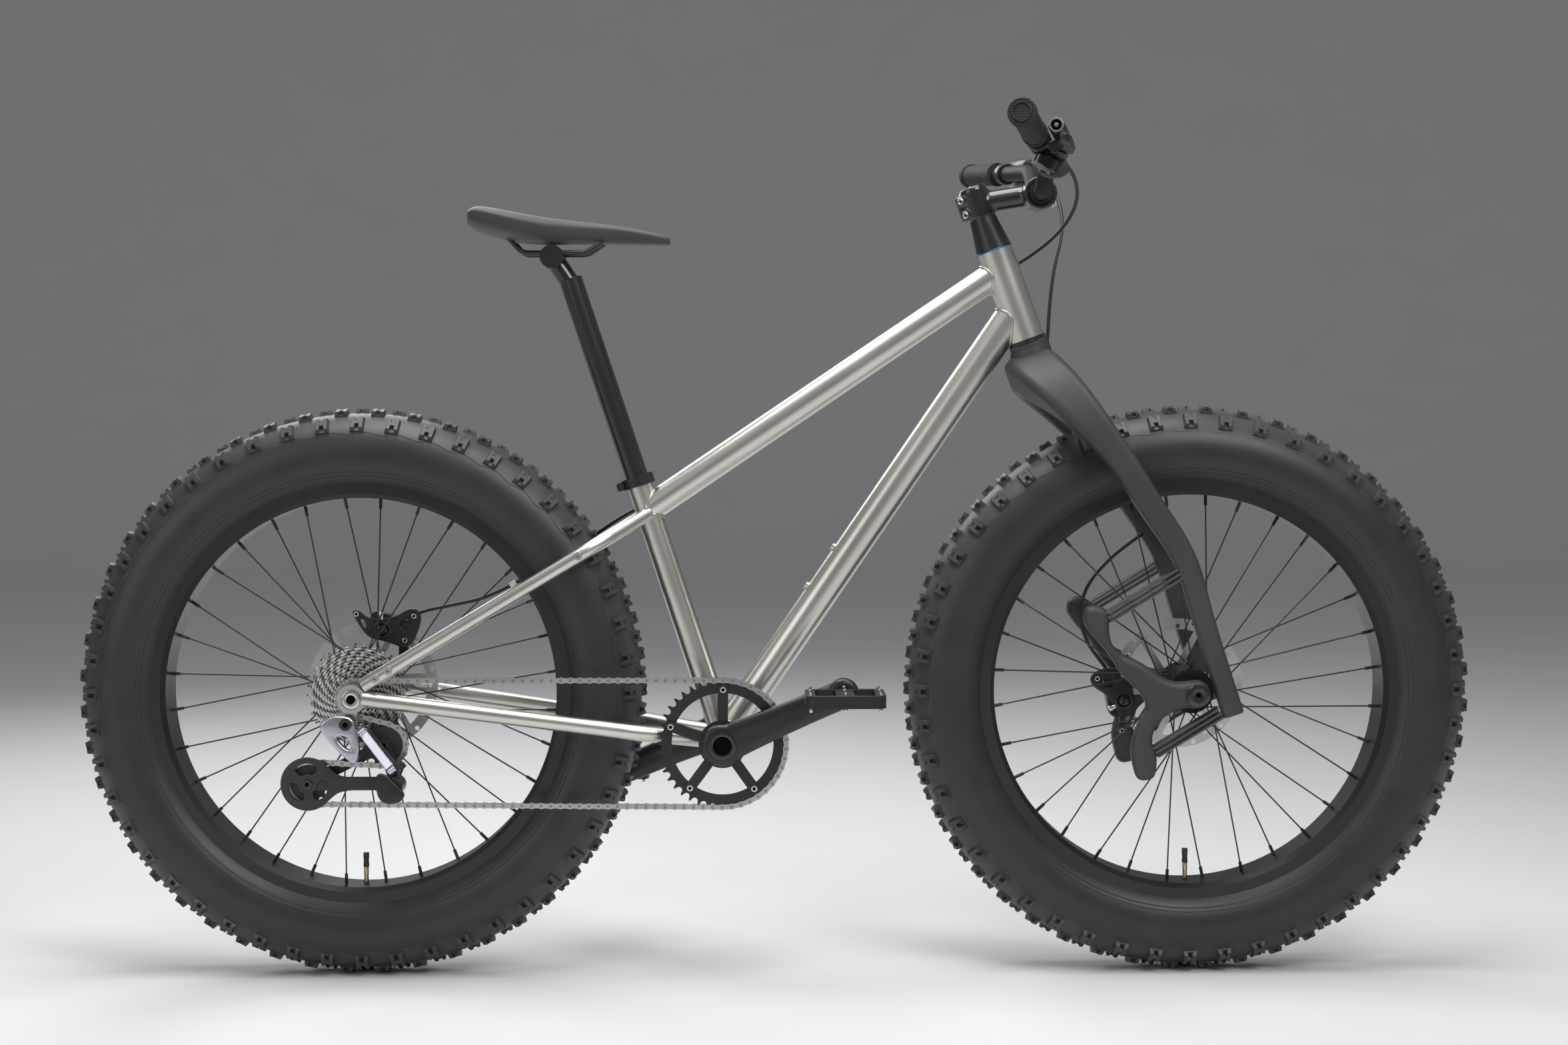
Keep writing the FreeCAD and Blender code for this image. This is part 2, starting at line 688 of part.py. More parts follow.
def headset():
    """Bearings in the head tube, a lower cup and a thin ring under the spacer."""
    inner = STEERER_R + RUNNING_GAP
    height = 8.0
    upper = tube(head_top - head_dir * height, head_top, HEAD_BORE_R, inner)
    lower = tube(head_base, head_base + head_dir * height, HEAD_BORE_R, inner)
    add("headset_bearings", group([upper, lower]))
    cup_low = head_base - head_dir * (SEAL_HEIGHT / 2)
    add("headset_lower_cup", tube(cup_low, head_base, HEAD_R + 1.5, STEERER_R + 2))
    ring_top = head_top + head_dir * TOP_RING_HEIGHT
    add("headset_top_ring", tube(head_top, ring_top, HEAD_R - 0.5, STEERER_R + 2))


def bracket_cups():
    """Two bearing cups pressed in the bracket shell that carry the spindle."""
    cups = []
    for side in (-1, 1):
        face = side * BB_WIDTH / 2
        inner = spun([(BB_INNER_R, face - side * 12), (BB_INNER_R, face), (BB_OUTER_R, face),
                      (BB_OUTER_R, face + side * 8), (SPINDLE_R + RUNNING_GAP, face + side * 8),
                      (SPINDLE_R + RUNNING_GAP, face - side * 12)], bracket)
        cups.append(inner)
    add("bracket_cups", group(cups))


def caliper(centre, rotor_y, angle, mount_y):
    """A brake caliper astride a rotor's edge, at an angle round the axle.

    Two posts reach out from it to the mount's face.
    """
    low = ROTOR_R - 22.0
    high = ROTOR_R + 13.0
    half_len = CALIPER_LEN / 2
    half = CALIPER_WIDTH / 2
    top = centre + UP * ((low + high) / 2)
    block = rounded_rect(top + ACROSS * (rotor_y - half), V(1, 0, 0), UP, half_len, (high - low) / 2, 11.0)
    block = Part.Face(block).extrude(ACROSS * CALIPER_WIDTH)
    slot_low = centre + V(-half_len - 1, rotor_y - CALIPER_SLOT / 2, low - 1)
    slot = Part.makeBox(CALIPER_LEN + 2, CALIPER_SLOT, ROTOR_R + 4.0 - low, slot_low)
    piston = disc(top + V(0, 0, 4), 9.0, rotor_y + half, rotor_y + half + 3.0)
    body = turned(block.cut(slot).fuse(piston), centre, angle)
    posts = [disc(spot, 5.0, rotor_y + half, mount_y) for spot in caliper_posts(centre, angle)]
    return body.multiFuse(posts)


def pitch_radius(teeth):
    """Radius of the circle that the chain's rollers follow on a sprocket."""
    return CHAIN_PITCH / (2 * math.sin(math.pi / teeth))


def polar(centre, radius, angle):
    """A point in the side plane at an angle from +X towards +Z."""
    return centre + V(radius * math.cos(angle), 0, radius * math.sin(angle))


def sprocket(centre, teeth, phase, y_low, y_high, bore):
    """A toothed wheel whose gaps lie at the phase angle and every tooth on."""
    radius = pitch_radius(teeth)
    wrap = math.radians(75)
    tip_half = 1.0 / (radius + TOOTH_TIP)
    base = V(centre.x, y_low, centre.z)
    edges = []
    first = None
    last = None
    for index in range(teeth):
        angle = phase + 2 * math.pi * index / teeth
        gap = polar(base, radius, angle)
        inward = V(-math.cos(angle), 0, -math.sin(angle))
        onward = V(-math.sin(angle), 0, math.cos(angle))
        start = gap + (inward * math.cos(wrap) - onward * math.sin(wrap)) * TOOTH_GAP_R
        end = gap + (inward * math.cos(wrap) + onward * math.sin(wrap)) * TOOTH_GAP_R
        if last is not None:
            edges.append(Part.LineSegment(last, start).toShape())
        else:
            first = start
        edges.append(Part.Arc(start, gap + inward * TOOTH_GAP_R, end).toShape())
        tip = angle + math.pi / teeth
        tip_a = polar(base, radius + TOOTH_TIP, tip - tip_half)
        tip_b = polar(base, radius + TOOTH_TIP, tip + tip_half)
        edges.append(Part.LineSegment(end, tip_a).toShape())
        edges.append(Part.LineSegment(tip_a, tip_b).toShape())
        last = tip_b
    edges.append(Part.LineSegment(last, first).toShape())
    blank = Part.Face(Part.Wire(edges)).extrude(V(0, y_high - y_low, 0))
    return blank.cut(disc(centre, bore, y_low - 1, y_high + 1))


class ChainLoop:
    """The chain's line round ring, cog and pulleys, walked in steps of one pitch."""

    def __init__(self, wheels):
        """wheels: (centre, pitch radius, +1 or -1 for the way round) in order."""
        self.parts = []
        joins = []
        count = len(wheels)
        for index in range(count):
            joins.append(self.tangent(wheels[index], wheels[(index + 1) % count]))
        for index in range(count):
            centre, radius, way = wheels[index]
            arrive = joins[index - 1][1]
            leave = joins[index][0]
            begin = math.atan2(arrive.z - centre.z, arrive.x - centre.x)
            finish = math.atan2(leave.z - centre.z, leave.x - centre.x)
            sweep = (way * (finish - begin)) % (2 * math.pi)
            self.parts.append(("arc", centre, radius, way, begin, sweep, radius * sweep))
            run = joins[index][1] - leave
            self.parts.append(("line", leave, run, run.Length))
        self.length = sum(part[-1] for part in self.parts)

    @staticmethod
    def tangent(first, second):
        """Where a straight run leaves one wheel and meets the next."""
        signed_a = first[1] * first[2]
        signed_b = second[1] * second[2]
        gap = second[0] - first[0]
        heading = math.atan2(gap.z, gap.x) - math.asin((signed_b - signed_a) / gap.Length)
        normal = V(-math.sin(heading), 0, math.cos(heading))
        return first[0] - normal * signed_a, second[0] - normal * signed_b

    def at(self, distance):
        """The point at a distance along the loop."""
        rest = distance % self.length
        for part in self.parts:
            if rest <= part[-1]:
                break
            rest -= part[-1]
        if part[0] == "line":
            return part[1] + part[2] * (rest / part[3])
        return polar(part[1], part[2], part[4] + part[3] * rest / part[2])

    def walk(self, count):
        """Distances of successive rollers, one straight pitch apart."""
        places = [0.0]
        for index in range(count):
            here = self.at(places[-1])
            low = places[-1] + 0.9 * CHAIN_PITCH
            high = places[-1] + 1.2 * CHAIN_PITCH
            for halving in range(40):
                middle = (low + high) / 2
                if (self.at(middle) - here).Length < CHAIN_PITCH:
                    low = middle
                else:
                    high = middle
            places.append((low + high) / 2)
        return places


cog_centre = rear_axle
guide_centre = rear_axle + V(GUIDE_AHEAD, 0, -GUIDE_DROP)
cage_pivot = rear_axle + V(CAGE_PIVOT_AHEAD, 0, -CAGE_PIVOT_DROP)


def tension_centre(reach):
    """The lower pulley's centre, for one length of the cage's lower arm."""
    return polar(cage_pivot, reach, math.radians(TENSION_REST_ANGLE))


def chain_loop(reach):
    """The chain's loop for one length of the cage's lower arm."""
    return ChainLoop([(bracket, pitch_radius(RING_TEETH), 1), (cog_centre, pitch_radius(COG_TEETH[0]), 1),
                      (guide_centre, pitch_radius(GUIDE_TEETH), -1),
                      (tension_centre(reach), pitch_radius(TENSION_TEETH), 1)])


def fitted_chain():
    """Fit the cage's arm so that a whole, even number of links closes the loop."""
    links = 2 * round(chain_loop(TENSION_REACH).length / CHAIN_PITCH / 2)
    low = TENSION_REACH - CHAIN_PITCH
    high = TENSION_REACH + CHAIN_PITCH
    for halving in range(40):
        middle = (low + high) / 2
        loop = chain_loop(middle)
        if loop.walk(links)[-1] > loop.length:
            low = middle
        else:
            high = middle
    return loop, loop.walk(links)[:-1], middle


def link_outline(y_low):
    """The waisted outline of one chain plate, from the origin along +X."""
    side = PLATE_HALF_HEIGHT
    angle = math.radians(58)
    x = side * math.cos(angle)
    z = side * math.sin(angle)
    waist = 0.74 * side
    half = CHAIN_PITCH / 2

    def at(px, pz):
        return V(px, y_low, pz)
    arcs = [Part.Arc(at(x, z), at(-side, 0), at(x, -z)),
            Part.Arc(at(x, -z), at(half, -waist), at(CHAIN_PITCH - x, -z)),
            Part.Arc(at(CHAIN_PITCH - x, -z), at(CHAIN_PITCH + side, 0), at(CHAIN_PITCH - x, z)),
            Part.Arc(at(CHAIN_PITCH - x, z), at(half, waist), at(x, z))]
    return Part.Face(Part.Wire([arc.toShape() for arc in arcs]))


def chain_link(inner):
    """One inner link with its rollers, or one outer link with its pins."""
    low = INNER_GAP / 2 if inner else INNER_GAP / 2 + PLATE_THICK + PLATE_GAP
    high = low + PLATE_THICK
    far = link_outline(low).extrude(ACROSS * PLATE_THICK)
    near = link_outline(-high).extrude(ACROSS * PLATE_THICK)
    ends = [V(0, 0, 0), V(CHAIN_PITCH, 0, 0)]
    if inner:
        body = far.multiFuse([near] + [disc(end, ROLLER_R, -low, low) for end in ends])
        bores = [disc(end, PIN_R + PLATE_GAP, -high - 1, high + 1) for end in ends]
        return body.cut(group(bores))
    reach = high + PLATE_GAP
    return far.multiFuse([near] + [disc(end, PIN_R, -reach, reach) for end in ends])


def chain(loop, places):
    """The closed chain, inner and outer links in turn."""
    shapes = [chain_link(True), chain_link(False)]
    points = [loop.at(place) for place in places]
    links = []
    for index, point in enumerate(points):
        onward = points[(index + 1) % len(points)] - point
        link = shapes[index % 2].copy()
        turn = FreeCAD.Rotation(V(1, 0, 0), onward)
        link.Placement = FreeCAD.Placement(point - ACROSS * CHAIN_LINE, turn)
        links.append(link)
    add("chain", group(links))
    return points


def tooth_phase(points, centre, teeth):
    """The angle of a roller that lies on a sprocket, where a gap must be."""
    radius = pitch_radius(teeth)
    seated = [p for p in points if abs((p - centre).Length - radius) < 1e-3]
    middle = seated[len(seated) // 2]
    return math.atan2(middle.z - centre.z, middle.x - centre.x)


def cassette(points):
    """The stack of cogs on the freehub body; the chain lies on the smallest."""
    cogs = []
    first = tooth_phase(points, cog_centre, COG_TEETH[0])
    for index, teeth in enumerate(COG_TEETH):
        y = -CHAIN_LINE + index * COG_STEP
        low = y - COG_THICK / 2
        bore = FREEHUB_R if teeth < 17 else pitch_radius(teeth) - 12.0
        cog = sprocket(cog_centre, teeth, first, low, low + COG_THICK, bore)
        if bore > FREEHUB_R:
            root = cog_centre.z + FREEHUB_R - 1
            tip = cog_centre.z + bore + 2
            corners = [(-COG_ARM_ROOT, root), (COG_ARM_ROOT, root), (COG_ARM_TIP, tip), (-COG_ARM_TIP, tip)]
            arm = plate([(cog_centre.x + x, z) for x, z in corners], low, low + COG_THICK)
            arms = [turned(arm, cog_centre, 360.0 / COG_ARMS * step) for step in range(COG_ARMS)]
            cog = cog.multiFuse(arms).cut(disc(cog_centre, FREEHUB_R, low - 1, low + COG_THICK + 1))
        cogs.append(cog)
        if index:
            spacer_low = low - COG_STEP + COG_THICK
            cogs.append(spun([(FREEHUB_R, low), (FREEHUB_R + 1.2, low), (FREEHUB_R + 1.2, spacer_low),
                              (FREEHUB_R, spacer_low)], cog_centre))
    add("cassette", group(cogs))
    right = -CHAIN_LINE - 5.0
    left = -REAR_FLANGE_RIGHT - HUB_END - CLEAR
    bore = AXLE_R + RUNNING_GAP
    add("freehub_body", spun([(FREEHUB_R, left), (FREEHUB_R, right), (bore, right), (bore, right + 8),
                              (bore + 4, right + 8), (bore + 4, left - 8), (bore, left - 8), (bore, left)],
                             cog_centre))


def bar_plate(first, second, radius, y_low, y_high):
    """A flat strip with round ends between two points of the side plane."""
    run = second - first
    run.y = 0
    length = run.Length
    run.normalize()
    side = V(-run.z, 0, run.x) * radius
    start = V(first.x, y_low, first.z)
    end = start + run * length
    edges = [Part.LineSegment(start + side, end + side), Part.Arc(end + side, end + run * radius, end - side),
             Part.LineSegment(end - side, start - side),
             Part.Arc(start - side, start - run * radius, start + side)]
    return Part.Face(Part.Wire([edge.toShape() for edge in edges])).extrude(V(0, y_high - y_low, 0))


def derailleur_hanger():
    """The replaceable hanger below the right dropout."""
    bolt = hanger_bolt()
    low = -REAR_HUB_WIDTH / 2 - 8.0
    high = -REAR_HUB_WIDTH / 2 - 0.5
    hood = disc(rear_axle, DROPOUT_R, -2 * dropout_y(), 0)
    strip = bar_plate(rear_axle, bolt, 10.0, low, high).cut(hood)
    strip = max(strip.Solids, key=lambda solid: solid.Volume)
    add("derailleur_hanger", strip)


def hanger_bolt():
    """Where the derailleur's upper bolt passes through the hanger."""
    return rear_axle + V(-HANGER_BACK, 0, -HANGER_DROP)


def swing_axis():
    """The four link pivots' shared direction."""
    axis = LINK_SPAN.cross(LINK_SWING)
    axis.normalize()
    return axis


def link_pivots():
    """Upper pivots of the outer and the inner link."""
    outer = hanger_bolt() + V(20.0, -REAR_HUB_WIDTH / 2 - 12.0, -11.0)
    apart = V(LINK_SWING)
    apart.normalize()
    return [outer, outer + apart * LINK_APART]


def derailleur_link(start):
    """One flat link with an eye at each end."""
    axis = swing_axis()
    end = start + LINK_SPAN
    run = V(LINK_SPAN)
    run.normalize()
    flat = axis.cross(run)
    middle = along(start, end, 0.5)
    half = LINK_SPAN.Length / 2
    ring = rounded_rect(middle - axis * LINK_HALF_WIDTH, run, flat, half, LINK_HALF_THICK, 1.0)
    body = Part.Face(ring).extrude(axis * 2 * LINK_HALF_WIDTH)
    eyes = [rod(spot - axis * LINK_HALF_WIDTH, spot + axis * LINK_HALF_WIDTH, LINK_EYE_R)
            for spot in (start, end)]
    bores = [rod(spot - axis * 20, spot + axis * 20, LINK_PIN_R + RUNNING_GAP) for spot in (start, end)]
    return body.multiFuse(eyes).cut(group(bores))


def link_sweep(start, pivot):
    """The room that one link needs about a pivot, over its whole swing."""
    axis = swing_axis()
    end = start + LINK_SPAN
    run = V(LINK_SPAN)
    run.normalize()
    flat = axis.cross(run)
    wide = LINK_HALF_WIDTH + CLEAR
    ring = rounded_rect(along(start, end, 0.5) - axis * wide, run, flat, LINK_SPAN.Length / 2,
                        LINK_HALF_THICK + 2 * CLEAR, 1.0)
    rooms = [Part.Face(ring).extrude(axis * 2 * wide)]
    for spot in (start, end):
        rooms.append(rod(spot - axis * wide, spot + axis * wide, LINK_EYE_R + 2 * CLEAR))
    room = rooms[0].multiFuse(rooms[1:])
    swings = []
    for step in range(SWING_STEPS + 1):
        copy = room.copy()
        copy.rotate(pivot, axis, SHIFT_SWING * step / SWING_STEPS)
        swings.append(copy)
    return swings


def knuckle(boss, root, pivots, starts, way):
    """A round boss with two lugs that carry the link pins, clear of the links."""
    axis = swing_axis()
    reach = LINK_HALF_WIDTH + CLEAR
    lug = 4.0
    pieces = []
    pins = []
    for spot in pivots:
        inner = spot + axis * (way * reach)
        centre = spot + axis * (way * (reach + lug))
        pins.append(rod(spot - axis * (way * (LINK_HALF_WIDTH - 1)), centre, LINK_PIN_R))
        pieces.append(rod(inner, spot + axis * (way * (reach + 2 * lug)), LINK_EYE_R))
        pieces.append(rod(centre, root, lug))
    body = boss.multiFuse(pieces)
    for start, pivot in zip(starts, pivots):
        body = body.cut(link_sweep(start, pivot))
    body = max(body.Solids, key=lambda solid: solid.Volume)
    return body.multiFuse(pins)


def derailleur(reach):
    """Knuckles, links, cage and pulleys, hung from the hanger."""
    pivots = link_pivots()
    lower = [spot + LINK_SPAN for spot in pivots]
    bolt = hanger_bolt()
    top_high = -REAR_HUB_WIDTH / 2 - 8.0
    top_low = top_high - 14.0
    root = V(bolt.x, (top_low + top_high) / 2, bolt.z)
    upper = knuckle(disc(bolt, 11.0, top_low, top_high), root, pivots, pivots, -1)
    add("derailleur_upper_knuckle", upper.cut(nodes["derailleur_hanger"]))
    add("derailleur_outer_link", derailleur_link(pivots[0]))
    add("derailleur_inner_link", derailleur_link(pivots[1]))
    cage_face = -CHAIN_LINE - CAGE_HALF_GAP - CAGE_THICK
    low = lower[0].y - 3.0
    foot = V(cage_pivot.x, (low + cage_face) / 2, cage_pivot.z)
    under = knuckle(disc(cage_pivot, 13.0, low, cage_face - CLEAR), foot, lower, pivots, 1)
    pin_hole = disc(cage_pivot, 5.0 + RUNNING_GAP, cage_face - 12.0 - CLEAR, cage_face)
    add("derailleur_lower_knuckle", under.cut(pin_hole))
    tension = tension_centre(reach)
    outer_high = cage_face + CAGE_THICK
    inner_low = -CHAIN_LINE + CAGE_HALF_GAP
    strips = [bar_plate(cage_pivot, tension, 9.0, cage_face, outer_high),
              bar_plate(cage_pivot, guide_centre, 9.0, cage_face, outer_high),
              bar_plate(guide_centre, tension, 8.0, inner_low, inner_low + CAGE_THICK),
              disc(cage_pivot, 5.0, cage_face - 12.0, cage_face)]
    strips += [disc(spot, PULLEY_BOLT_R, outer_high, inner_low) for spot in (guide_centre, tension)]
    add("derailleur_cage", strips[0].multiFuse(strips[1:]).removeSplitter())


def pulleys(points, reach):
    """The two toothed pulleys that the chain passes in an S."""
    for name, spot, teeth in (("guide_pulley", guide_centre, GUIDE_TEETH),
                              ("tension_pulley", tension_centre(reach), TENSION_TEETH)):
        phase = tooth_phase(points, spot, teeth)
        low = -CHAIN_LINE - PULLEY_THICK / 2
        bore = PULLEY_BOLT_R + RUNNING_GAP
        wheel_body = sprocket(spot, teeth, phase, low, low + PULLEY_THICK, bore)
        half = CAGE_HALF_GAP - CLEAR
        hub = spun([(7.0, -CHAIN_LINE - half), (7.0, -CHAIN_LINE + half), (bore, -CHAIN_LINE + half),
                    (bore, -CHAIN_LINE - half)], spot)
        add(name, wheel_body.fuse(hub))


def crank_arm():
    """The right arm, tapered from the spindle boss to the pedal eye."""
    angle = math.radians(CRANK_ANGLE)
    run = V(math.cos(angle), 0, math.sin(angle))
    side = V(-run.z, 0, run.x)
    stations = [(0.0, 19.0, 0.0), (0.35, 15.0, 0.35), (1.0, 12.5, 1.0)]
    rings = []
    for share, half, flare in stations:
        middle = -ARM_INNER_Y - ARM_THICK / 2 - flare * ARM_FLARE
        centre = bracket + run * (share * CRANK_LEN) + ACROSS * middle
        rings.append(rounded_rect(centre, side, ACROSS, half, ARM_THICK / 2 - ARM_STEP, 5.0))
    body = Part.makeLoft(rings, True, False)
    pedal = pedal_centre()
    outer = -ARM_INNER_Y - ARM_THICK
    body = body.fuse(disc(bracket, 21.0, outer, -ARM_INNER_Y))
    body = body.fuse(disc(pedal, 14.0, outer - ARM_FLARE, -ARM_INNER_Y - ARM_FLARE))
    body = body.cut(disc(bracket, SPINDLE_R, outer, -ARM_INNER_Y))
    return body.cut(disc(pedal, PEDAL_AXLE_R + 2.5, outer - ARM_FLARE - 1, 0))


def pedal_centre():
    """The right pedal's axis in the side plane."""
    return polar(bracket, CRANK_LEN, math.radians(CRANK_ANGLE))


def crank_set(points):
    """Arms, spindle, chainring, its spider and bolts."""
    arm = crank_arm()
    add("right_crank_arm", arm)
    add("left_crank_arm", turned(mirrored(arm), bracket, 180))
    end = ARM_INNER_Y + ARM_THICK
    spindle = disc(bracket, SPINDLE_R, -end, end).cut(disc(bracket, SPINDLE_R - 3.5, -end, end))
    add("crank_spindle", spindle)
    low = -CHAIN_LINE - RING_THICK / 2
    radius = pitch_radius(RING_TEETH)
    phase = tooth_phase(points, bracket, RING_TEETH)
    inner = radius - RING_BAND
    add("chainring", sprocket(bracket, RING_TEETH, phase, low, low + RING_THICK, inner))
    bolt_r = inner + 5.0
    hub = disc(bracket, 32.0, -ARM_INNER_Y, low)
    arms = []
    bolts = []
    for index in range(SPIDER_ARMS):
        angle = 2 * math.pi * index / SPIDER_ARMS + 0.3
        tip = polar(bracket, bolt_r, angle)
        arms.append(bar_plate(polar(bracket, 25.0, angle), tip, 7.0, -ARM_INNER_Y, low))
        bolts.append(disc(tip, 4.5, low + RING_THICK, low + RING_THICK + 1.6))
    spider = hub.multiFuse(arms).cut(disc(bracket, SPINDLE_R, -ARM_INNER_Y - 1, 0))
    add("chainring_spider", spider.removeSplitter())
    add("chainring_bolts", group(bolts))


def pedal():
    """The right platform pedal, its axle, and the grip pins on both faces."""
    centre = pedal_centre()
    eye = -ARM_INNER_Y - ARM_THICK - ARM_FLARE
    near = eye - PEDAL_STAND_OFF
    far = near - PEDAL_WIDTH
    half = PEDAL_THICK / 2
    rim = 13.0
    ring = rounded_rect(centre + V(0, (near + far) / 2, -half), V(1, 0, 0), ACROSS, PEDAL_LEN / 2,
                        PEDAL_WIDTH / 2, 14.0)
    body = Part.Face(ring).extrude(UP * PEDAL_THICK)
    window_x = (PEDAL_LEN - 2 * rim - 24.0) / 2
    for way in (-1, 1):
        middle = centre + V(way * (12.0 + window_x / 2), (near + far) / 2, -half - 1)
        hole = rounded_rect(middle, V(1, 0, 0), ACROSS, window_x / 2, PEDAL_WIDTH / 2 - rim, 6.0)
        body = body.cut(Part.Face(hole).extrude(UP * (PEDAL_THICK + 2)))
    body = body.cut(disc(centre, PEDAL_AXLE_R + RUNNING_GAP, far + 8.0, near + 1))
    pins = []
    for x in (-PEDAL_LEN / 2 + 7, 0.0, PEDAL_LEN / 2 - 7):
        for y in (near - 8.0, (near + far) / 2, far + 8.0):
            spot = V(centre.x + x, y, centre.z)
            for way in (-1, 1):
                pins.append(rod(spot + UP * (way * half), spot + UP * (way * (half + 4.5)), 2.0))
    axle = disc(centre, PEDAL_AXLE_R, far + 10.0, eye)
    axle = axle.fuse(disc(centre, PEDAL_AXLE_R + 2.5, eye, eye + ARM_THICK))
    axle = axle.fuse(disc(centre, PEDAL_AXLE_R + 3.5, near + CLEAR, eye))
    return body, group(pins), axle


def pedals():
    """Both pedals; the left one is opposite."""
    names = ("pedal_body", "pedal_pins", "pedal_axle")
    for name, shape in zip(names, pedal()):
        add("right_" + name, shape)
        add("left_" + name, opposite_pedal(shape))


def opposite_pedal(shape):
    """The right pedal's piece, moved to the left arm's end."""
    copy = mirrored(shape)
    copy.translate((bracket - pedal_centre()) * 2)
    return copy


def leg_stations():
    """Centres and half sizes of the left fork half, from the crown to the tip.

    The crown's stations hang from the head tube and the leg's from the axle.
    """
    def crown(down, ahead, y):
        return head_base - head_dir * down + head_front * ahead + ACROSS * y

    def leg(x, z, y):
        return front_axle + V(x, y, z)
    half = LEG_THICK / 2
    return [(crown(44, -8, 0), 34, 27), (crown(60, 1, 45), 33, 24), (crown(104, 22, LEG_Y - 14), 27, 19),
            (leg(-106, 320, LEG_Y - 2), 18.5, half + 2), (leg(-59, 248, LEG_Y), 17, half + 1),
            (leg(-17, 181, LEG_Y), 15.5, half), (leg(13, 86, LEG_Y), 14, half),
            (leg(49, -28, LEG_Y), 14, half)]


def eased(stations, spacing):
    """Even steps along a smooth curve through stations of a centre and two half sizes."""
    places = [0.0]
    for before, after in zip(stations, stations[1:]):
        places.append(places[-1] + (after[0] - before[0]).Length)
    values = [list(centre) + [width, thick] for centre, width, thick in stations]
    last = len(stations) - 1
    slopes = []
    for index in range(last + 1):
        low = max(index - 1, 0)
        high = min(index + 1, last)
        gap = places[high] - places[low]
        slopes.append([(b - a) / gap for a, b in zip(values[low], values[high])])
    count = round(places[-1] / spacing)
    steps = []
    for step in range(count + 1):
        place = places[-1] * step / count
        index = max(i for i in range(last) if places[i] <= place + 1e-9)
        gap = places[index + 1] - places[index]
        t = (place - places[index]) / gap
        row = []
        for a, b, ga, gb in zip(values[index], values[index + 1], slopes[index], slopes[index + 1]):
            row.append(a * (1 + 2 * t) * (1 - t) ** 2 + b * t * t * (3 - 2 * t)
                       + gap * (ga * t * (1 - t) ** 2 - gb * t * t * (1 - t)))
        steps.append((V(row[0], row[1], row[2]), row[3], row[4]))
    return steps


def fork_half():
    """The left half of the fork: half the arch and one leg, in one smooth loft."""
    stations = eased(leg_stations(), 36.0)
    rings = []
    for index, (centre, half_width, half_thick) in enumerate(stations):
        before = stations[max(index - 1, 0)][0]
        after = stations[min(index + 1, len(stations) - 1)][0]
        heading = ACROSS if index == 0 else after - before
        heading = heading / heading.Length
        width = head_front - heading * head_front.dot(heading)
        width.normalize()
        thick = heading.cross(width)
        rings.append(rounded_rect(centre, width, thick, half_width, half_thick, 0.55 * half_thick))
    return Part.makeLoft(rings, True, False)


def fork():
    """Two fork halves, and the steerer with its flared neck and crown race."""
    half = fork_half()
    other = mirrored(half)
    add("left_fork_leg", half)
    add("right_fork_leg", other)
    race = head_base - head_dir * (SEAL_HEIGHT / 2 + 0.5)
    neck = head_base - head_dir * SEAL_HEIGHT
    foot = head_base - head_dir * 44.0 - head_front * 4.0
    top = stem_top()
    steerer = rod(race, top, STEERER_R)
    flare = Part.makeLoft([Part.Wire(Part.makeCircle(NECK_R, neck, head_dir)),
                           Part.Wire(Part.makeCircle(NECK_R + 3, foot, head_dir))], True, True)
    bore = rod(neck - head_dir * 60, top, STEERER_R - FORK_WALL)
    body = steerer.multiFuse([rod(neck, race, HEAD_R + 1.5), flare]).cut(bore)
    body = body.cut(half).cut(other)
    add("fork_steerer", max(body.Solids, key=lambda solid: solid.Volume))
    return half


def stem_top():
    """The steerer's upper end, level with the top of the stem."""
    return spacer_base() + head_dir * (SPACER_HEIGHT + STEM_HEIGHT)


def link_points():
    """Places on the left spring link, from the front axle: top, elbow, shin and foot."""
    offsets = [(-132.0, 96.0), (-54.0, -4.0), (-64.0, -63.0), (-69.0, -98.0)]
    return [front_axle + V(x, 0, z) for x, z in offsets]


def spring_link():
    """The left Y-shaped link that carries the axle on the leaf springs."""
    top, elbow, shin, foot = link_points()
    low = LEG_Y - LINK_THICK / 2
    high = LEG_Y + LINK_THICK / 2
    arm = 14.0
    bars = [bar_plate(top, elbow, arm, low, high), bar_plate(elbow, front_axle, AXLE_BOSS_R, low, high),
            bar_plate(elbow, shin, arm, low, high), bar_plate(shin, foot, arm, low, high)]
    boss = disc(front_axle, AXLE_BOSS_R, FRONT_HUB_WIDTH / 2, high)
    body = bars[0].multiFuse(bars[1:] + [boss]).removeSplitter()
    return body.cut(disc(front_axle, AXLE_R, 0, 2 * high))


def leaf_pack(start, leg, link):
    """Thin leaves between the left link and the left leg, seated on both."""
    length = 150.0
    leaves = []
    for index in range(LEAF_COUNT):
        shift = (index - (LEAF_COUNT - 1) / 2) * LEAF_STEP
        middle = start + travel_dir * shift + ACROSS * LEG_Y
        ring = rounded_rect(middle, travel_dir, ACROSS, LEAF_THICK / 2, SPRING_WIDTH / 2, 0.8)
        leaf = Part.Face(ring).extrude(spring_dir * length).cut(leg).cut(link)
        nearest = min(leaf.Solids, key=lambda solid: (solid.CenterOfMass - middle).Length)
        leaves.append(nearest)
    return leaves


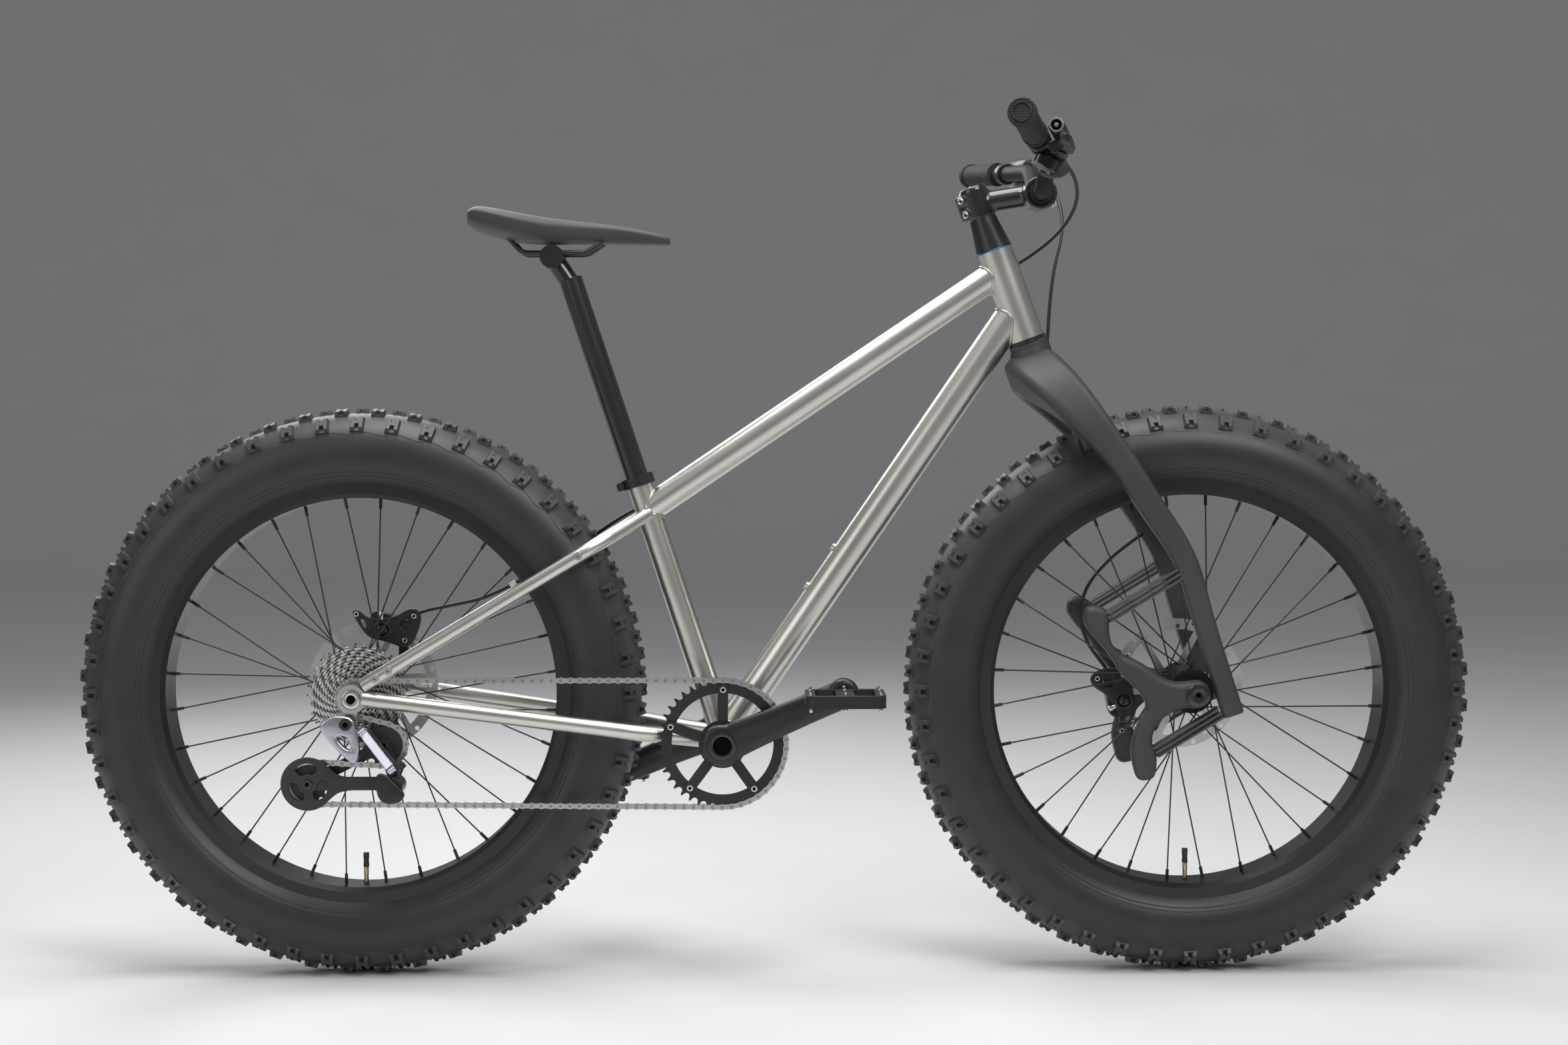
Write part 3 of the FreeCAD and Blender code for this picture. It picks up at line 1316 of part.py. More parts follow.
def front_suspension(leg):
    """Links, leaf springs, front axle and front caliper."""
    link = spring_link()
    add("left_spring_link", link)
    add("right_spring_link", mirrored(link))
    points = link_points()
    low_root = along(points[2], points[3], LOW_LEAF_SHARE)
    leaves = leaf_pack(points[0], leg, link) + leaf_pack(low_root, leg, link)
    for name, pack in (("left", group(leaves)), ("right", mirrored(group(leaves)))):
        add(name + "_leaf_springs", pack)
    end = LEG_Y + LINK_THICK / 2
    head = AXLE_R + 4.0
    profile = [(0, -end - 3), (head, -end - 3), (head, -end), (AXLE_R, -end), (AXLE_R, end), (head, end),
               (head, end + 3), (0, end + 3)]
    add("front_axle", spun(profile, front_axle).cut(disc(front_axle, 3.2, -end - 3, -end + 4)))
    face = LEG_Y - LINK_THICK / 2
    add("front_caliper", caliper(front_axle, FRONT_ROTOR_Y, FRONT_CALIPER_ANGLE, face))


def caliper_posts(centre, angle):
    """Where the caliper's two mounting bolts stand, round the axle."""
    turn = math.radians(angle)
    outward = V(math.sin(turn), 0, math.cos(turn))
    onward = V(outward.z, 0, -outward.x)
    return [centre + outward * 75.0 + onward * (way * 18.0) for way in (1, -1)]


def rear_brake_mount():
    """The rear caliper and the bracket that carries it on the left seatstay."""
    inner = REAR_ROTOR_Y + CALIPER_WIDTH / 2 + 6.0
    add("rear_caliper", caliper(rear_axle, REAR_ROTOR_Y, REAR_CALIPER_ANGLE, inner))
    front, back = caliper_posts(rear_axle, REAR_CALIPER_ANGLE)
    stay = seatstay_points()
    share = (front.x - stay[2].x) / (stay[1].x - stay[2].x)
    seat = along(stay[2], stay[1], share)
    plate_body = bar_plate(front, seat, 7.0, inner, inner + 7.0)
    plate_body = plate_body.fuse(bar_plate(front, back, 7.0, inner, inner + 7.0))
    plate_body = plate_body.cut(rod(stay[2], stay[1], SEATSTAY_R))
    add("rear_caliper_bracket", max(plate_body.Solids, key=lambda solid: solid.Volume))


def seat_clamp_centre():
    """The middle of the seat post's rail clamp."""
    return seat_top + seat_dir * POST_SHOWN + V(-CLAMP_BACK, 0, CLAMP_RISE)


def seat_post():
    """The hollow post with its head, and the two clamp cheeks with their bolt."""
    top = seat_top + seat_dir * POST_SHOWN
    low = top - seat_dir * POST_LEN
    centre = seat_clamp_centre()
    inner = RAIL_Y - RAIL_R - 1.5
    head = disc(centre, CLAMP_R - 2, -inner, inner)
    neck = rod(top - seat_dir * 12, centre, POST_R - 2.5)
    body = rod(low, top, POST_R).fuse(neck).fuse(head).cut(rod(low, top - seat_dir * 20, POST_R - POST_WALL))
    bore = disc(centre - UP * 4, 3.0, -60, 60)
    add("seat_post", body.cut(bore))
    rail = saddle_rail()
    cheek = disc(centre, CLAMP_R, inner, inner + 10.0).cut(rail).cut(bore)
    add("rail_clamps", group([cheek, mirrored(cheek)]))
    reach = inner + 10.0
    bolt = disc(centre - UP * 4, 3.0, -reach, reach)
    head = disc(centre - UP * 4, 5.5, reach, reach + 2.0)
    add("rail_clamp_bolt", bolt.multiFuse([head, mirrored(head)]))


def saddle_rail():
    """The left saddle rail, as a bent rod."""
    centre = seat_clamp_centre()
    points = [centre + V(x, y, z) for x, y, z in
              ((-66, 30, 34), (-40, RAIL_Y, 5), (46, RAIL_Y, 5), (92, 12, 34))]
    return swept(points, RAIL_R, 18.0)[0]


def saddle_pad():
    """A crowned pad that narrows from a broad tail to a slim nose."""
    centre = seat_clamp_centre()
    stations = [(-114, 50, 61, 54, 43), (-96, 68, 68, 57, 33), (-52, 70, 61, 47, 22), (-10, 52, 54, 39, 18),
                (35, 31, 49, 37, 18), (90, 22, 43, 34, 17), (135, 19, 35, 27, 16), (160, 13, 27, 22, 16)]
    rings = []
    for x, half, crown, edge, foot in stations:
        def at(y, z):
            return centre + V(x, y, z)
        waist = 0.86 * half
        middle = (edge + foot) / 2
        lines = [Part.Arc(at(-half, edge), at(0, crown), at(half, edge)),
                 Part.Arc(at(half, edge), at(0.97 * half, middle), at(waist, foot)),
                 Part.LineSegment(at(waist, foot), at(-waist, foot)),
                 Part.Arc(at(-waist, foot), at(-0.97 * half, middle), at(-half, edge))]
        rings.append(Part.Wire([line.toShape() for line in lines]))
    return Part.makeLoft(rings, True, False)


def saddle():
    """The padded saddle and its two rails."""
    pad = saddle_pad()
    add("saddle_pad", pad)
    rail = saddle_rail().cut(pad)
    rail = max(rail.Solids, key=lambda solid: solid.Volume)
    add("saddle_rails", group([rail, mirrored(rail)]))


def spacer_base():
    """Where the cone spacer starts, just clear of the headset's top ring."""
    return head_top + head_dir * (TOP_RING_HEIGHT + SPACER_GAP)


def bar_centre():
    """The middle of the handlebar's clamped part."""
    stem_middle = spacer_base() + head_dir * (SPACER_HEIGHT + STEM_HEIGHT / 2)
    return stem_middle + head_front * BAR_AHEAD - head_dir * BAR_BELOW


def bar_points():
    """The left half of the handlebar's route, from the clamp's edge to the bar's end."""
    start = bar_centre() + ACROSS * BAR_RISE_START
    shoulder = start + ACROSS * (BAR_RISE_END - BAR_RISE_START) + UP * BAR_RISE
    end = shoulder + V(-BAR_SWEEP_BACK, BAR_WIDTH / 2 - BAR_RISE_END, BAR_SWEEP_UP)
    return [start, shoulder, end]


def grip_dir():
    """The left grip's direction, outwards."""
    shoulder, end = bar_points()[1:]
    return (end - shoulder) / (end - shoulder).Length


def handlebar():
    """The riser bar, thicker where the stem clamps it, and its two grips with end rings."""
    half = bar_points()
    route = [V(point.x, -point.y, point.z) for point in reversed(half)] + half
    outer = swept(route, BAR_R, BAR_BEND_R)[0]
    core = swept(route, BAR_R - BAR_WALL, BAR_BEND_R)[0]
    bulge = disc(bar_centre(), BAR_CLAMP_R, -BAR_CLAMP_HALF, BAR_CLAMP_HALF)
    add("handlebar", outer.fuse(bulge).cut(core))
    end = half[2]
    inner_end = end - grip_dir() * GRIP_LEN
    sleeve = tube(inner_end + grip_dir() * RING_WIDTH, end, GRIP_R, BAR_R)
    ring = tube(inner_end, inner_end + grip_dir() * RING_WIDTH, GRIP_R + 1.0, BAR_R)
    plug = rod(end, end + grip_dir() * 3.0, GRIP_R - 1.0)
    left = [sleeve, ring, plug]
    add("grips", group(left + [mirrored(piece) for piece in left]))


def stem():
    """The stem, its faceplate and bolts, the top cap, and the cone spacer below it."""
    low = spacer_base() + head_dir * SPACER_HEIGHT
    top = low + head_dir * STEM_HEIGHT
    centre = bar_centre()
    bore = rod(low - head_dir * 5, top + head_dir * 5, STEERER_R)
    bar_bore = disc(centre, BAR_CLAMP_R, -60, 60)
    ring = disc(centre, FACE_R, -FACE_HALF_WIDTH, FACE_HALF_WIDTH).cut(bar_bore)
    corners = [(-0.5, -60), (60, -60), (60, 60), (-0.5, 60)]
    outline = [centre + head_front * ahead + head_dir * up for ahead, up in corners]
    ahead_block = plate([(point.x, point.z) for point in outline], -60, 60)
    shifted = ahead_block.copy()
    shifted.translate(head_front * 1.0)
    lug_middle = low + head_dir * (STEM_HEIGHT / 2) - head_front * (STEM_CLAMP_R + 2)
    lug_side = lug_middle - ACROSS * LUG_HALF
    lug_ring = rounded_rect(lug_side, head_front, head_dir, 6.0, STEM_HEIGHT / 2 - 3, 3.0)
    lug = Part.Face(lug_ring).extrude(ACROSS * (2 * LUG_HALF))
    middle = low + head_dir * (STEM_HEIGHT / 2)
    neck = rod(middle, centre, STEM_NECK_R)
    body = rod(low, top, STEM_CLAMP_R).multiFuse([neck, lug])
    body = body.cut(bar_bore).cut(ahead_block).fuse(ring.cut(ahead_block)).cut(bore)
    face = ring.common(shifted)
    bolts = []
    for up in (-1, 1):
        for side in (-1, 1):
            spot = centre + head_dir * (up * FACE_BOLT_OUT) + ACROSS * (side * (FACE_HALF_WIDTH - 7))
            shank = rod(spot - head_front * 8, spot + head_front * 12, 1.9)
            bolts.append(shank.fuse(rod(spot + head_front * 11.5, spot + head_front * 15, 3.3)))
        spot = lug_middle + head_dir * (up * (STEM_HEIGHT / 2 - 10)) - head_front * 1.0
        shank = rod(spot - ACROSS * (LUG_HALF + 2), spot + ACROSS * (LUG_HALF - 1), 2.0)
        bolts.append(shank.fuse(rod(spot - ACROSS * (LUG_HALF + 4), spot - ACROSS * LUG_HALF, 3.5)))
    for bolt in bolts:
        body = body.cut(bolt)
        face = face.cut(bolt)
    cap = rod(top, top + head_dir * 3.5, STEM_CLAMP_R - 1)
    cap = cap.fuse(rod(top + head_dir * 3, top + head_dir * 6, 4.0))
    add("stem", group([body, face] + bolts + [cap]))
    base = spacer_base()
    spacer = cone(base, low, HEAD_R - 0.5, SPACER_TOP_R)
    add("cone_spacer", spacer.cut(rod(base, low, STEERER_R + 0.2)))


class LeverFrame:
    """Places about the left brake lever: outboard along the grip, ahead of it, and above."""

    def __init__(self):
        self.out = grip_dir()
        ahead = V(math.cos(math.radians(LEVER_DROP)), 0, -math.sin(math.radians(LEVER_DROP)))
        ahead = ahead - self.out * ahead.dot(self.out)
        self.ahead = ahead / ahead.Length
        self.above = self.ahead.cross(self.out)
        self.ring = bar_points()[2] - self.out * (GRIP_LEN + LEVER_INSET)
        self.origin = self.ring + self.out * LEVER_RING_BACK

    def at(self, out, ahead, above=0.0):
        """The point at these distances from the lever's own place on the bar."""
        return self.origin + self.out * out + self.ahead * ahead + self.above * above

    def slab(self, outline, low, high):
        """Extrude an (out, ahead) polygon between two heights."""
        points = [self.at(out, ahead, low) for out, ahead in outline]
        face = Part.Face(Part.makePolygon(points + points[:1]))
        return face.extrude(self.above * (high - low))


def brake_levers():
    """Lever bodies clamped to the bar, their swinging blades, and the shifter on the right."""
    frame = LeverFrame()
    half = BLADE_THICK / 2
    ear = half + CLEAR
    reach = ear + EAR_THICK
    pin = rod(frame.at(0, PIVOT_AHEAD, -reach), frame.at(0, PIVOT_AHEAD, reach), LEVER_PIN_R)
    ring = rod(frame.at(-LEVER_RING_BACK - 7, 0), frame.at(-LEVER_RING_BACK + 7, 0), BAR_R + 4.5)
    strut = rod(frame.at(-LEVER_RING_BACK, 0), frame.at(-LEVER_RING_BACK, CYLINDER_AHEAD), 6.5)
    far = frame.at(-CYLINDER_LEN - CYLINDER_INSET, CYLINDER_AHEAD)
    cylinder = rod(far, frame.at(-CYLINDER_INSET, CYLINDER_AHEAD), CYLINDER_R)
    side = [(-20, PIVOT_AHEAD - 10), (6, PIVOT_AHEAD - 6), (6, PIVOT_AHEAD + 6), (-10, PIVOT_AHEAD + 6)]
    ears = [frame.slab(side, low, low + EAR_THICK) for low in (-ear - EAR_THICK, ear)]
    body = ring.multiFuse([strut, cylinder, pin] + ears)
    body = body.cut(rod(frame.at(-80, 0), frame.at(30, 0), BAR_R))
    outline = [(-6, -6), (8, -8), (22, 2), (60, 8), (98, 8), (105, 14), (99, 20), (58, 19), (14, 16), (-6, 6)]
    blade = frame.slab([(out, PIVOT_AHEAD + ahead) for out, ahead in outline], -half, half)
    bore = rod(frame.at(0, PIVOT_AHEAD, -20), frame.at(0, PIVOT_AHEAD, 20), LEVER_PIN_R + RUNNING_GAP)
    blade = blade.cut(bore)
    add("left_brake_blade", blade)
    add("right_brake_blade", mirrored(blade))
    shifter, paddle = shift_pod(frame)
    add("lever_bodies", group([body, mirrored(body), mirrored(shifter)]))
    add("shift_paddle", mirrored(paddle))


def shift_pod(frame):
    """A shifter under the bar, and its thumb paddle, laid out on the left side."""
    place = -LEVER_RING_BACK - POD_INSET
    ring = rod(frame.at(place - 5, 0), frame.at(place + 5, 0), BAR_R + 4.0)
    block_ring = rounded_rect(frame.at(place, POD_AHEAD, -POD_DROP), frame.out, frame.ahead, 17.0, 13.0, 5.0)
    block = Part.Face(block_ring).extrude(frame.above * POD_HEIGHT)
    strut = rod(frame.at(place, 0), frame.at(place, POD_AHEAD, -POD_DROP + POD_HEIGHT / 2), 5.0)
    thick = 3.5
    face = -POD_DROP - CLEAR
    pin = rod(frame.at(place, POD_AHEAD, -POD_DROP + 1), frame.at(place, POD_AHEAD, face - thick), 3.0)
    cap_top = frame.at(place, POD_AHEAD, face - thick - CLEAR)
    cap = rod(cap_top, frame.at(place, POD_AHEAD, face - thick - 2.5), 5.0)
    pin_end = rod(frame.at(place, POD_AHEAD, face - thick), frame.at(place, POD_AHEAD, face - thick - 1), 3.0)
    body = ring.multiFuse([block, strut, pin, pin_end, cap])
    body = body.cut(rod(frame.at(place - 30, 0), frame.at(place + 30, 0), BAR_R))
    outline = [(-8, -8), (7, -8), (34, -14), (40, -6), (30, 2), (4, 9), (-8, 7)]
    paddle = frame.slab([(place + out, POD_AHEAD + ahead) for out, ahead in outline], face - thick, face)
    bore = rod(frame.at(place, POD_AHEAD, face + 5), frame.at(place, POD_AHEAD, face - 10), 3.0 + RUNNING_GAP)
    return body, paddle.cut(bore)


def hose_end(side):
    """Where a hose starts, just off the lever body on one side."""
    frame = LeverFrame()
    spot = frame.at(-CYLINDER_LEN - CYLINDER_INSET - HOSE_START_GAP, CYLINDER_AHEAD)
    return V(spot.x, side * spot.y, spot.z)


def hose(label, points, seats):
    """A hose along a bent route, trimmed where it enters the given pieces."""
    solid, length, radii = swept(points, HOSE_R)
    share = solid.Volume / (math.pi * HOSE_R ** 2 * length)
    print(label, "length", round(length), "volume share", round(share, 4), "radii", [round(r) for r in radii])
    for seat in seats:
        solid = solid.cut(seat)
    return max(solid.Solids, key=lambda piece: piece.Volume)


def front_hose(leg):
    """The front brake hose: from the left lever into the crown, and out of the leg to the caliper."""
    start = hose_end(1)
    upper = [start] + [head_base + V(x, y, z) for x, y, z in
                       ((37, 130, 226), (56, 92, 200), (58, 64, 152), (43, 50, 100), (36, 42, 46),
                        (33, 38, 0), (29, 37, -46))]
    lower = [front_axle + V(x, y, z) for x, y, z in
             ((-38, 88, 213), (-62, 72, 198), (-98, 66, 171), (-128, 66, 135), (-138, 68, 93), (-126, 68, 55),
              (-106, 68, 29), (-88, 68.5, 5))]
    add("front_hose", group([hose("front_hose_upper", upper, [leg]),
                             hose("front_hose_lower", lower, [leg, nodes["front_caliper"]])]))


def top_tube_side(share):
    """A place for the hose on the left of the top tube."""
    low = bracket + seat_dir * TOP_TUBE_AT_SEAT
    high = head_base + head_dir * TOP_TUBE_AT_HEAD
    return along(low, high, share) + ACROSS * (TOP_TUBE_R + HOSE_R + CLEAR)


def stay_side(share):
    """A place for the hose on the upper side of the left seatstay."""
    bend, end = seatstay_points()[1:]
    run = (end - bend) / (end - bend).Length
    above = UP - run * UP.dot(run)
    return along(bend, end, share) + above / above.Length * (SEATSTAY_R + HOSE_R + CLEAR)


def hose_clip(start, end, tube_rod):
    """A small clip that holds the hose on a frame tube."""
    middle = along(start, end, 0.5)
    half = (end - start) / (end - start).Length * (CLIP_LEN / 2)
    ring = tube(middle - half, middle + half, HOSE_R + 1.5, HOSE_R + RUNNING_GAP)
    return max(ring.cut(tube_rod).Solids, key=lambda piece: piece.Volume)


def rear_hose():
    """The rear brake hose along the top tube and the left seatstay, and its clips."""
    start = hose_end(-1)
    loop = [start] + [head_base + V(x, y, z) for x, y, z in
                      ((37, -130, 226), (58, -90, 206), (64, -44, 178), (48, 2, 147), (14, 36, 118),
                       (-31, 48, 92), (-77, 37, 64))]
    seat = [top_tube_side(0.81), top_tube_side(0.06), V(-200, 46, 628), stay_side(0.02), stay_side(0.48)]
    caliper_front = rear_axle + V(62, 80, 102)
    end = [rear_axle + V(108, 84, 111), caliper_front, rear_axle + V(44, 79, 90)]
    add("rear_hose", hose("rear_hose", loop + seat + end, [nodes["rear_caliper"]]))
    low = bracket + seat_dir * TOP_TUBE_AT_SEAT
    high = head_base + head_dir * TOP_TUBE_AT_HEAD
    body = rod(low, high, TOP_TUBE_R)
    clips = [hose_clip(top_tube_side(share), top_tube_side(share + 0.01), body) for share in TOP_CLIP_SHARES]
    bend, tip = seatstay_points()[1:]
    stay = rod(bend, tip, SEATSTAY_R)
    clips += [hose_clip(stay_side(share), stay_side(share + 0.01), stay) for share in STAY_CLIP_SHARES]
    return clips


# Nodes that hold several pieces of one kind, each piece its own solid
MERGED = {
    "chainstays": ["left_chainstay", "right_chainstay"],
    "seatstays": ["left_seatstay", "right_seatstay", "left_eyelets", "right_eyelets"],
    "dropouts": ["left_dropout", "right_dropout", "derailleur_hanger"],
    "seat_collar": ["seat_collar", "collar_bolt"],
    "headset": ["headset_bearings", "headset_lower_cup", "headset_top_ring"],
    "rear_caliper": ["rear_caliper", "rear_caliper_bracket"],
    "leaf_springs": ["left_leaf_springs", "right_leaf_springs"],
    "spring_links": ["left_spring_link", "right_spring_link"],
    "front_rim": ["front_rim", "front_valve"],
    "rear_rim": ["rear_rim", "rear_valve"],
    "front_hub": ["front_hub_shell", "front_hub_bearings"],
    "rear_hub": ["rear_hub_shell", "rear_hub_bearings"],
    "crank_arms": ["left_crank_arm", "right_crank_arm"],
    "chainring_spider": ["chainring_spider", "chainring_bolts"],
    "pedal_axles": ["left_pedal_axle", "right_pedal_axle"],
    "right_pedal": ["right_pedal_body", "right_pedal_pins"],
    "left_pedal": ["left_pedal_body", "left_pedal_pins"],
    "seat_post": ["seat_post", "rail_clamps", "rail_clamp_bolt"],
}


def merge_nodes():
    """Gather small pieces into the nodes that hold them, as separate solids."""
    for name, pieces in MERGED.items():
        solids = []
        for piece in pieces:
            solids += nodes.pop(piece).Solids
        nodes[name] = group(solids)


def main():
    """Build every piece and write one file for each node."""
    wheel("rear", rear_axle, -REAR_FLANGE_RIGHT - HUB_END, REAR_HUB_WIDTH / 2 - AXLE_COLLAR,
          REAR_FLANGE_RIGHT, REAR_FLANGE_LEFT, REAR_ROTOR_Y)
    wheel("front", front_axle, -FRONT_HUB_WIDTH / 2 + CLEAR, FRONT_HUB_WIDTH / 2 - CLEAR,
          FRONT_FLANGE_RIGHT, FRONT_FLANGE_LEFT, FRONT_ROTOR_Y)
    main_tubes()
    stays()
    rear_axle_pin()
    seat_collar()
    headset()
    bracket_cups()
    loop, places, reach = fitted_chain()
    points = chain(loop, places)
    cassette(points)
    derailleur_hanger()
    derailleur(reach)
    pulleys(points, reach)
    crank_set(points)
    pedals()
    leg = fork()
    front_suspension(leg)
    rear_brake_mount()
    seat_post()
    saddle()
    handlebar()
    stem()
    brake_levers()
    front_hose(leg)
    clips = rear_hose()
    nodes["top_tube"] = group([nodes["top_tube"]] + clips[:3])
    merge_nodes()
    nodes["seatstays"] = group(nodes["seatstays"].Solids + clips[3:])
    os.makedirs("parts", exist_ok=True)
    for name, shape in nodes.items():
        shape.exportStep("parts/" + name + ".step")
    print(len(nodes), "nodes")


if __name__ == "__main__":
    main()
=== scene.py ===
"""Dress a fat tyre bicycle: its metal, rubber and carbon finishes, its tyres, saddle, hoses and trim."""
from __future__ import annotations

import logging
import math
from contextlib import contextmanager
from dataclasses import dataclass, field
from enum import Enum
from typing import Any, Iterator, Sequence, Union

import bpy
from mathutils import Matrix, Vector

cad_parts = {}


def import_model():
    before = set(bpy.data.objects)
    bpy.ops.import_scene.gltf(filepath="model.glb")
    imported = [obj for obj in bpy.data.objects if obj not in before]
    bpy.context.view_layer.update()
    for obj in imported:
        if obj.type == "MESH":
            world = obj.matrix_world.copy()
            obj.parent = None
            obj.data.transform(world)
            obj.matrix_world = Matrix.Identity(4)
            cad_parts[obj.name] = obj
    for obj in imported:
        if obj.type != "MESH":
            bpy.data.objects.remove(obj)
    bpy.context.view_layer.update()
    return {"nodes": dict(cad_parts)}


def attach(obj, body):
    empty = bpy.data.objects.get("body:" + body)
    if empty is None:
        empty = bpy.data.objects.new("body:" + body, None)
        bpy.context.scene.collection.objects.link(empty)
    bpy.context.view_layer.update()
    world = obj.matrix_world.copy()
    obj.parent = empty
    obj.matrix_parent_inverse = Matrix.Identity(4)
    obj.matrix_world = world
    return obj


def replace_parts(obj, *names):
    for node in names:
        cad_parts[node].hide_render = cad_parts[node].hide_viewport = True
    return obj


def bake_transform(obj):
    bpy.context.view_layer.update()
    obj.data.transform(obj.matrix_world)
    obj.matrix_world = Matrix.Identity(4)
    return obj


LOG = logging.getLogger("bicycle")
Colour = tuple[float, float, float]
Point = tuple[float, float, float]
Spot = tuple[float, float]
Wheel = tuple[float, float, int, int]

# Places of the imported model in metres, and two directions on it.
REAR_AXLE: Point = (-0.562, 0.0, 0.385)
FRONT_AXLE: Point = (0.562, 0.0, 0.385)
BRACKET: Point = (-0.071, 0.0, 0.321)
HEAD_BASE: Point = (0.3445, 0.0, 0.862)
HEAD_TOP: Point = (0.300931, 0.0, 0.982357)
HEAD_WAY: Point = (-0.3404, 0.0, 0.9403)
RIGHT: Point = (0.0, -1.0, 0.0)
SAME_POINT = 0.00001


class Value:
    """A shader socket that takes part in plain arithmetic."""

    def __init__(self, graph: "Graph", socket: bpy.types.NodeSocket) -> None:
        """Keep the socket and the graph that it belongs to."""
        self.graph = graph
        self.socket = socket

    def _maths(self, operation: str, first: "Number", second: "Number" = 0.0) -> "Value":
        """Add one Math node.

        Args:
            operation: The node's operation.
            first: Its first value.
            second: Its second value.
        Returns:
            The node's result.
        """
        made = self.graph.node("ShaderNodeMath", {"operation": operation}, {0: first, 1: second})
        return Value(self.graph, made.outputs[0])

    def __add__(self, other: "Number") -> "Value":
        """Add."""
        return self._maths("ADD", self, other)

    def __radd__(self, other: "Number") -> "Value":
        """Add, with the socket second."""
        return self._maths("ADD", other, self)

    def __sub__(self, other: "Number") -> "Value":
        """Subtract."""
        return self._maths("SUBTRACT", self, other)

    def __rsub__(self, other: "Number") -> "Value":
        """Subtract the socket from a number."""
        return self._maths("SUBTRACT", other, self)

    def __mul__(self, other: "Number") -> "Value":
        """Multiply."""
        return self._maths("MULTIPLY", self, other)

    def __rmul__(self, other: "Number") -> "Value":
        """Multiply, with the socket second."""
        return self._maths("MULTIPLY", other, self)

    def root(self) -> "Value":
        """Take the square root."""
        return self._maths("SQRT", self)

    def wave(self) -> "Value":
        """Take the sine."""
        return self._maths("SINE", self)

    def turn(self, other: "Value") -> "Value":
        """The angle whose sides are this value and another."""
        return self._maths("ARCTAN2", self, other)

    def between(self, low: float, high: float) -> "Value":
        """Ease from 0 at one value to 1 at another.

        Args:
            low: The value that gives 0.
            high: The value that gives 1.
        Returns:
            The eased share.
        """
        made = self.graph.node("ShaderNodeMapRange", {"interpolation_type": "SMOOTHSTEP"},
                               {0: self, 1: low, 2: high, 3: 0.0, 4: 1.0})
        return Value(self.graph, made.outputs[0])


Number = Union[Value, float]


class Graph:
    """One material's nodes, ending in a single surface shader."""

    def __init__(self, name: str) -> None:
        """Start an empty material with a surface shader and an output."""
        self.material = bpy.data.materials.new(name)
        self.material.use_nodes = True
        self.tree = self.material.node_tree
        self.tree.nodes.clear()
        output = self.tree.nodes.new("ShaderNodeOutputMaterial")
        self.surface = self.tree.nodes.new("ShaderNodeBsdfPrincipled")
        self.tree.links.new(self.surface.outputs[0], output.inputs[0])

    def node(self, kind: str, settings: dict[str, Any], sockets: dict[Any, Any]) -> bpy.types.Node:
        """Add one node.

        Args:
            kind: The node's type.
            settings: Its own settings, set first.
            sockets: Values or links for its inputs.
        Returns:
            The node.
        """
        made = self.tree.nodes.new(kind)
        for key, setting in settings.items():
            setattr(made, key, setting)
        for key, given in sockets.items():
            self.feed(made.inputs[key], given)
        return made

    def feed(self, socket: bpy.types.NodeSocket, given: Any) -> None:
        """Set or link one input."""
        if isinstance(given, Value):
            self.tree.links.new(given.socket, socket)
        elif isinstance(given, tuple) and len(given) == 3 and socket.type == "RGBA":
            socket.default_value = (*given, 1.0)
        else:
            socket.default_value = given

    def place(self) -> Value:
        """The surface point, on the piece's own coordinates."""
        return Value(self, self.node("ShaderNodeTexCoord", {}, {}).outputs["Object"])

    def moved(self, offset: Point) -> Value:
        """The surface point counted from another place."""
        start = tuple(-part for part in offset)
        made = self.node("ShaderNodeMapping", {}, {"Vector": self.place(), "Location": start})
        return Value(self, made.outputs[0])

    def parts(self, vector: Value) -> tuple[Value, Value, Value]:
        """Split a vector into its three numbers."""
        made = self.node("ShaderNodeSeparateXYZ", {}, {0: vector})
        return tuple(Value(self, made.outputs[index]) for index in range(3))

    def noise(self, scale: float, detail: float = 3.0) -> Value:
        """A soft noise from 0 to 1.

        Args:
            scale: Its spots in a metre.
            detail: Its finer layers.
        Returns:
            The noise.
        """
        sockets = {"Vector": self.place(), "Scale": scale, "Detail": detail}
        made = self.node("ShaderNodeTexNoise", {}, sockets)
        return Value(self, made.outputs[0])

    def cells(self, scale: float) -> Value:
        """The distance to the nearest of many scattered points."""
        made = self.node("ShaderNodeTexVoronoi", {}, {"Vector": self.place(), "Scale": scale})
        return Value(self, made.outputs[0])

    def blend(self, share: Number, first: Any, second: Any) -> Value:
        """Mix two colours.

        Args:
            share: How much of the second.
            first: A colour.
            second: Another colour.
        Returns:
            The mixed colour.
        """
        made = self.node("ShaderNodeMix", {"data_type": "RGBA"}, {0: share, 6: first, 7: second})
        return Value(self, made.outputs[2])

    def relief(self, height: Value, strength: float, depth: float) -> None:
        """Raise the surface by a height.

        Args:
            height: From 0 to 1.
            strength: How much of it shows.
            depth: Its depth in metres.
        """
        made = self.node("ShaderNodeBump", {}, {"Strength": strength, "Distance": depth, "Height": height})
        self.tree.links.new(made.outputs[0], self.surface.inputs["Normal"])

    def set(self, **sockets: Any) -> None:
        """Set or link the shader's inputs, by their names with underscores for spaces."""
        for key, given in sockets.items():
            self.feed(self.surface.inputs[key.replace("_", " ")], given)


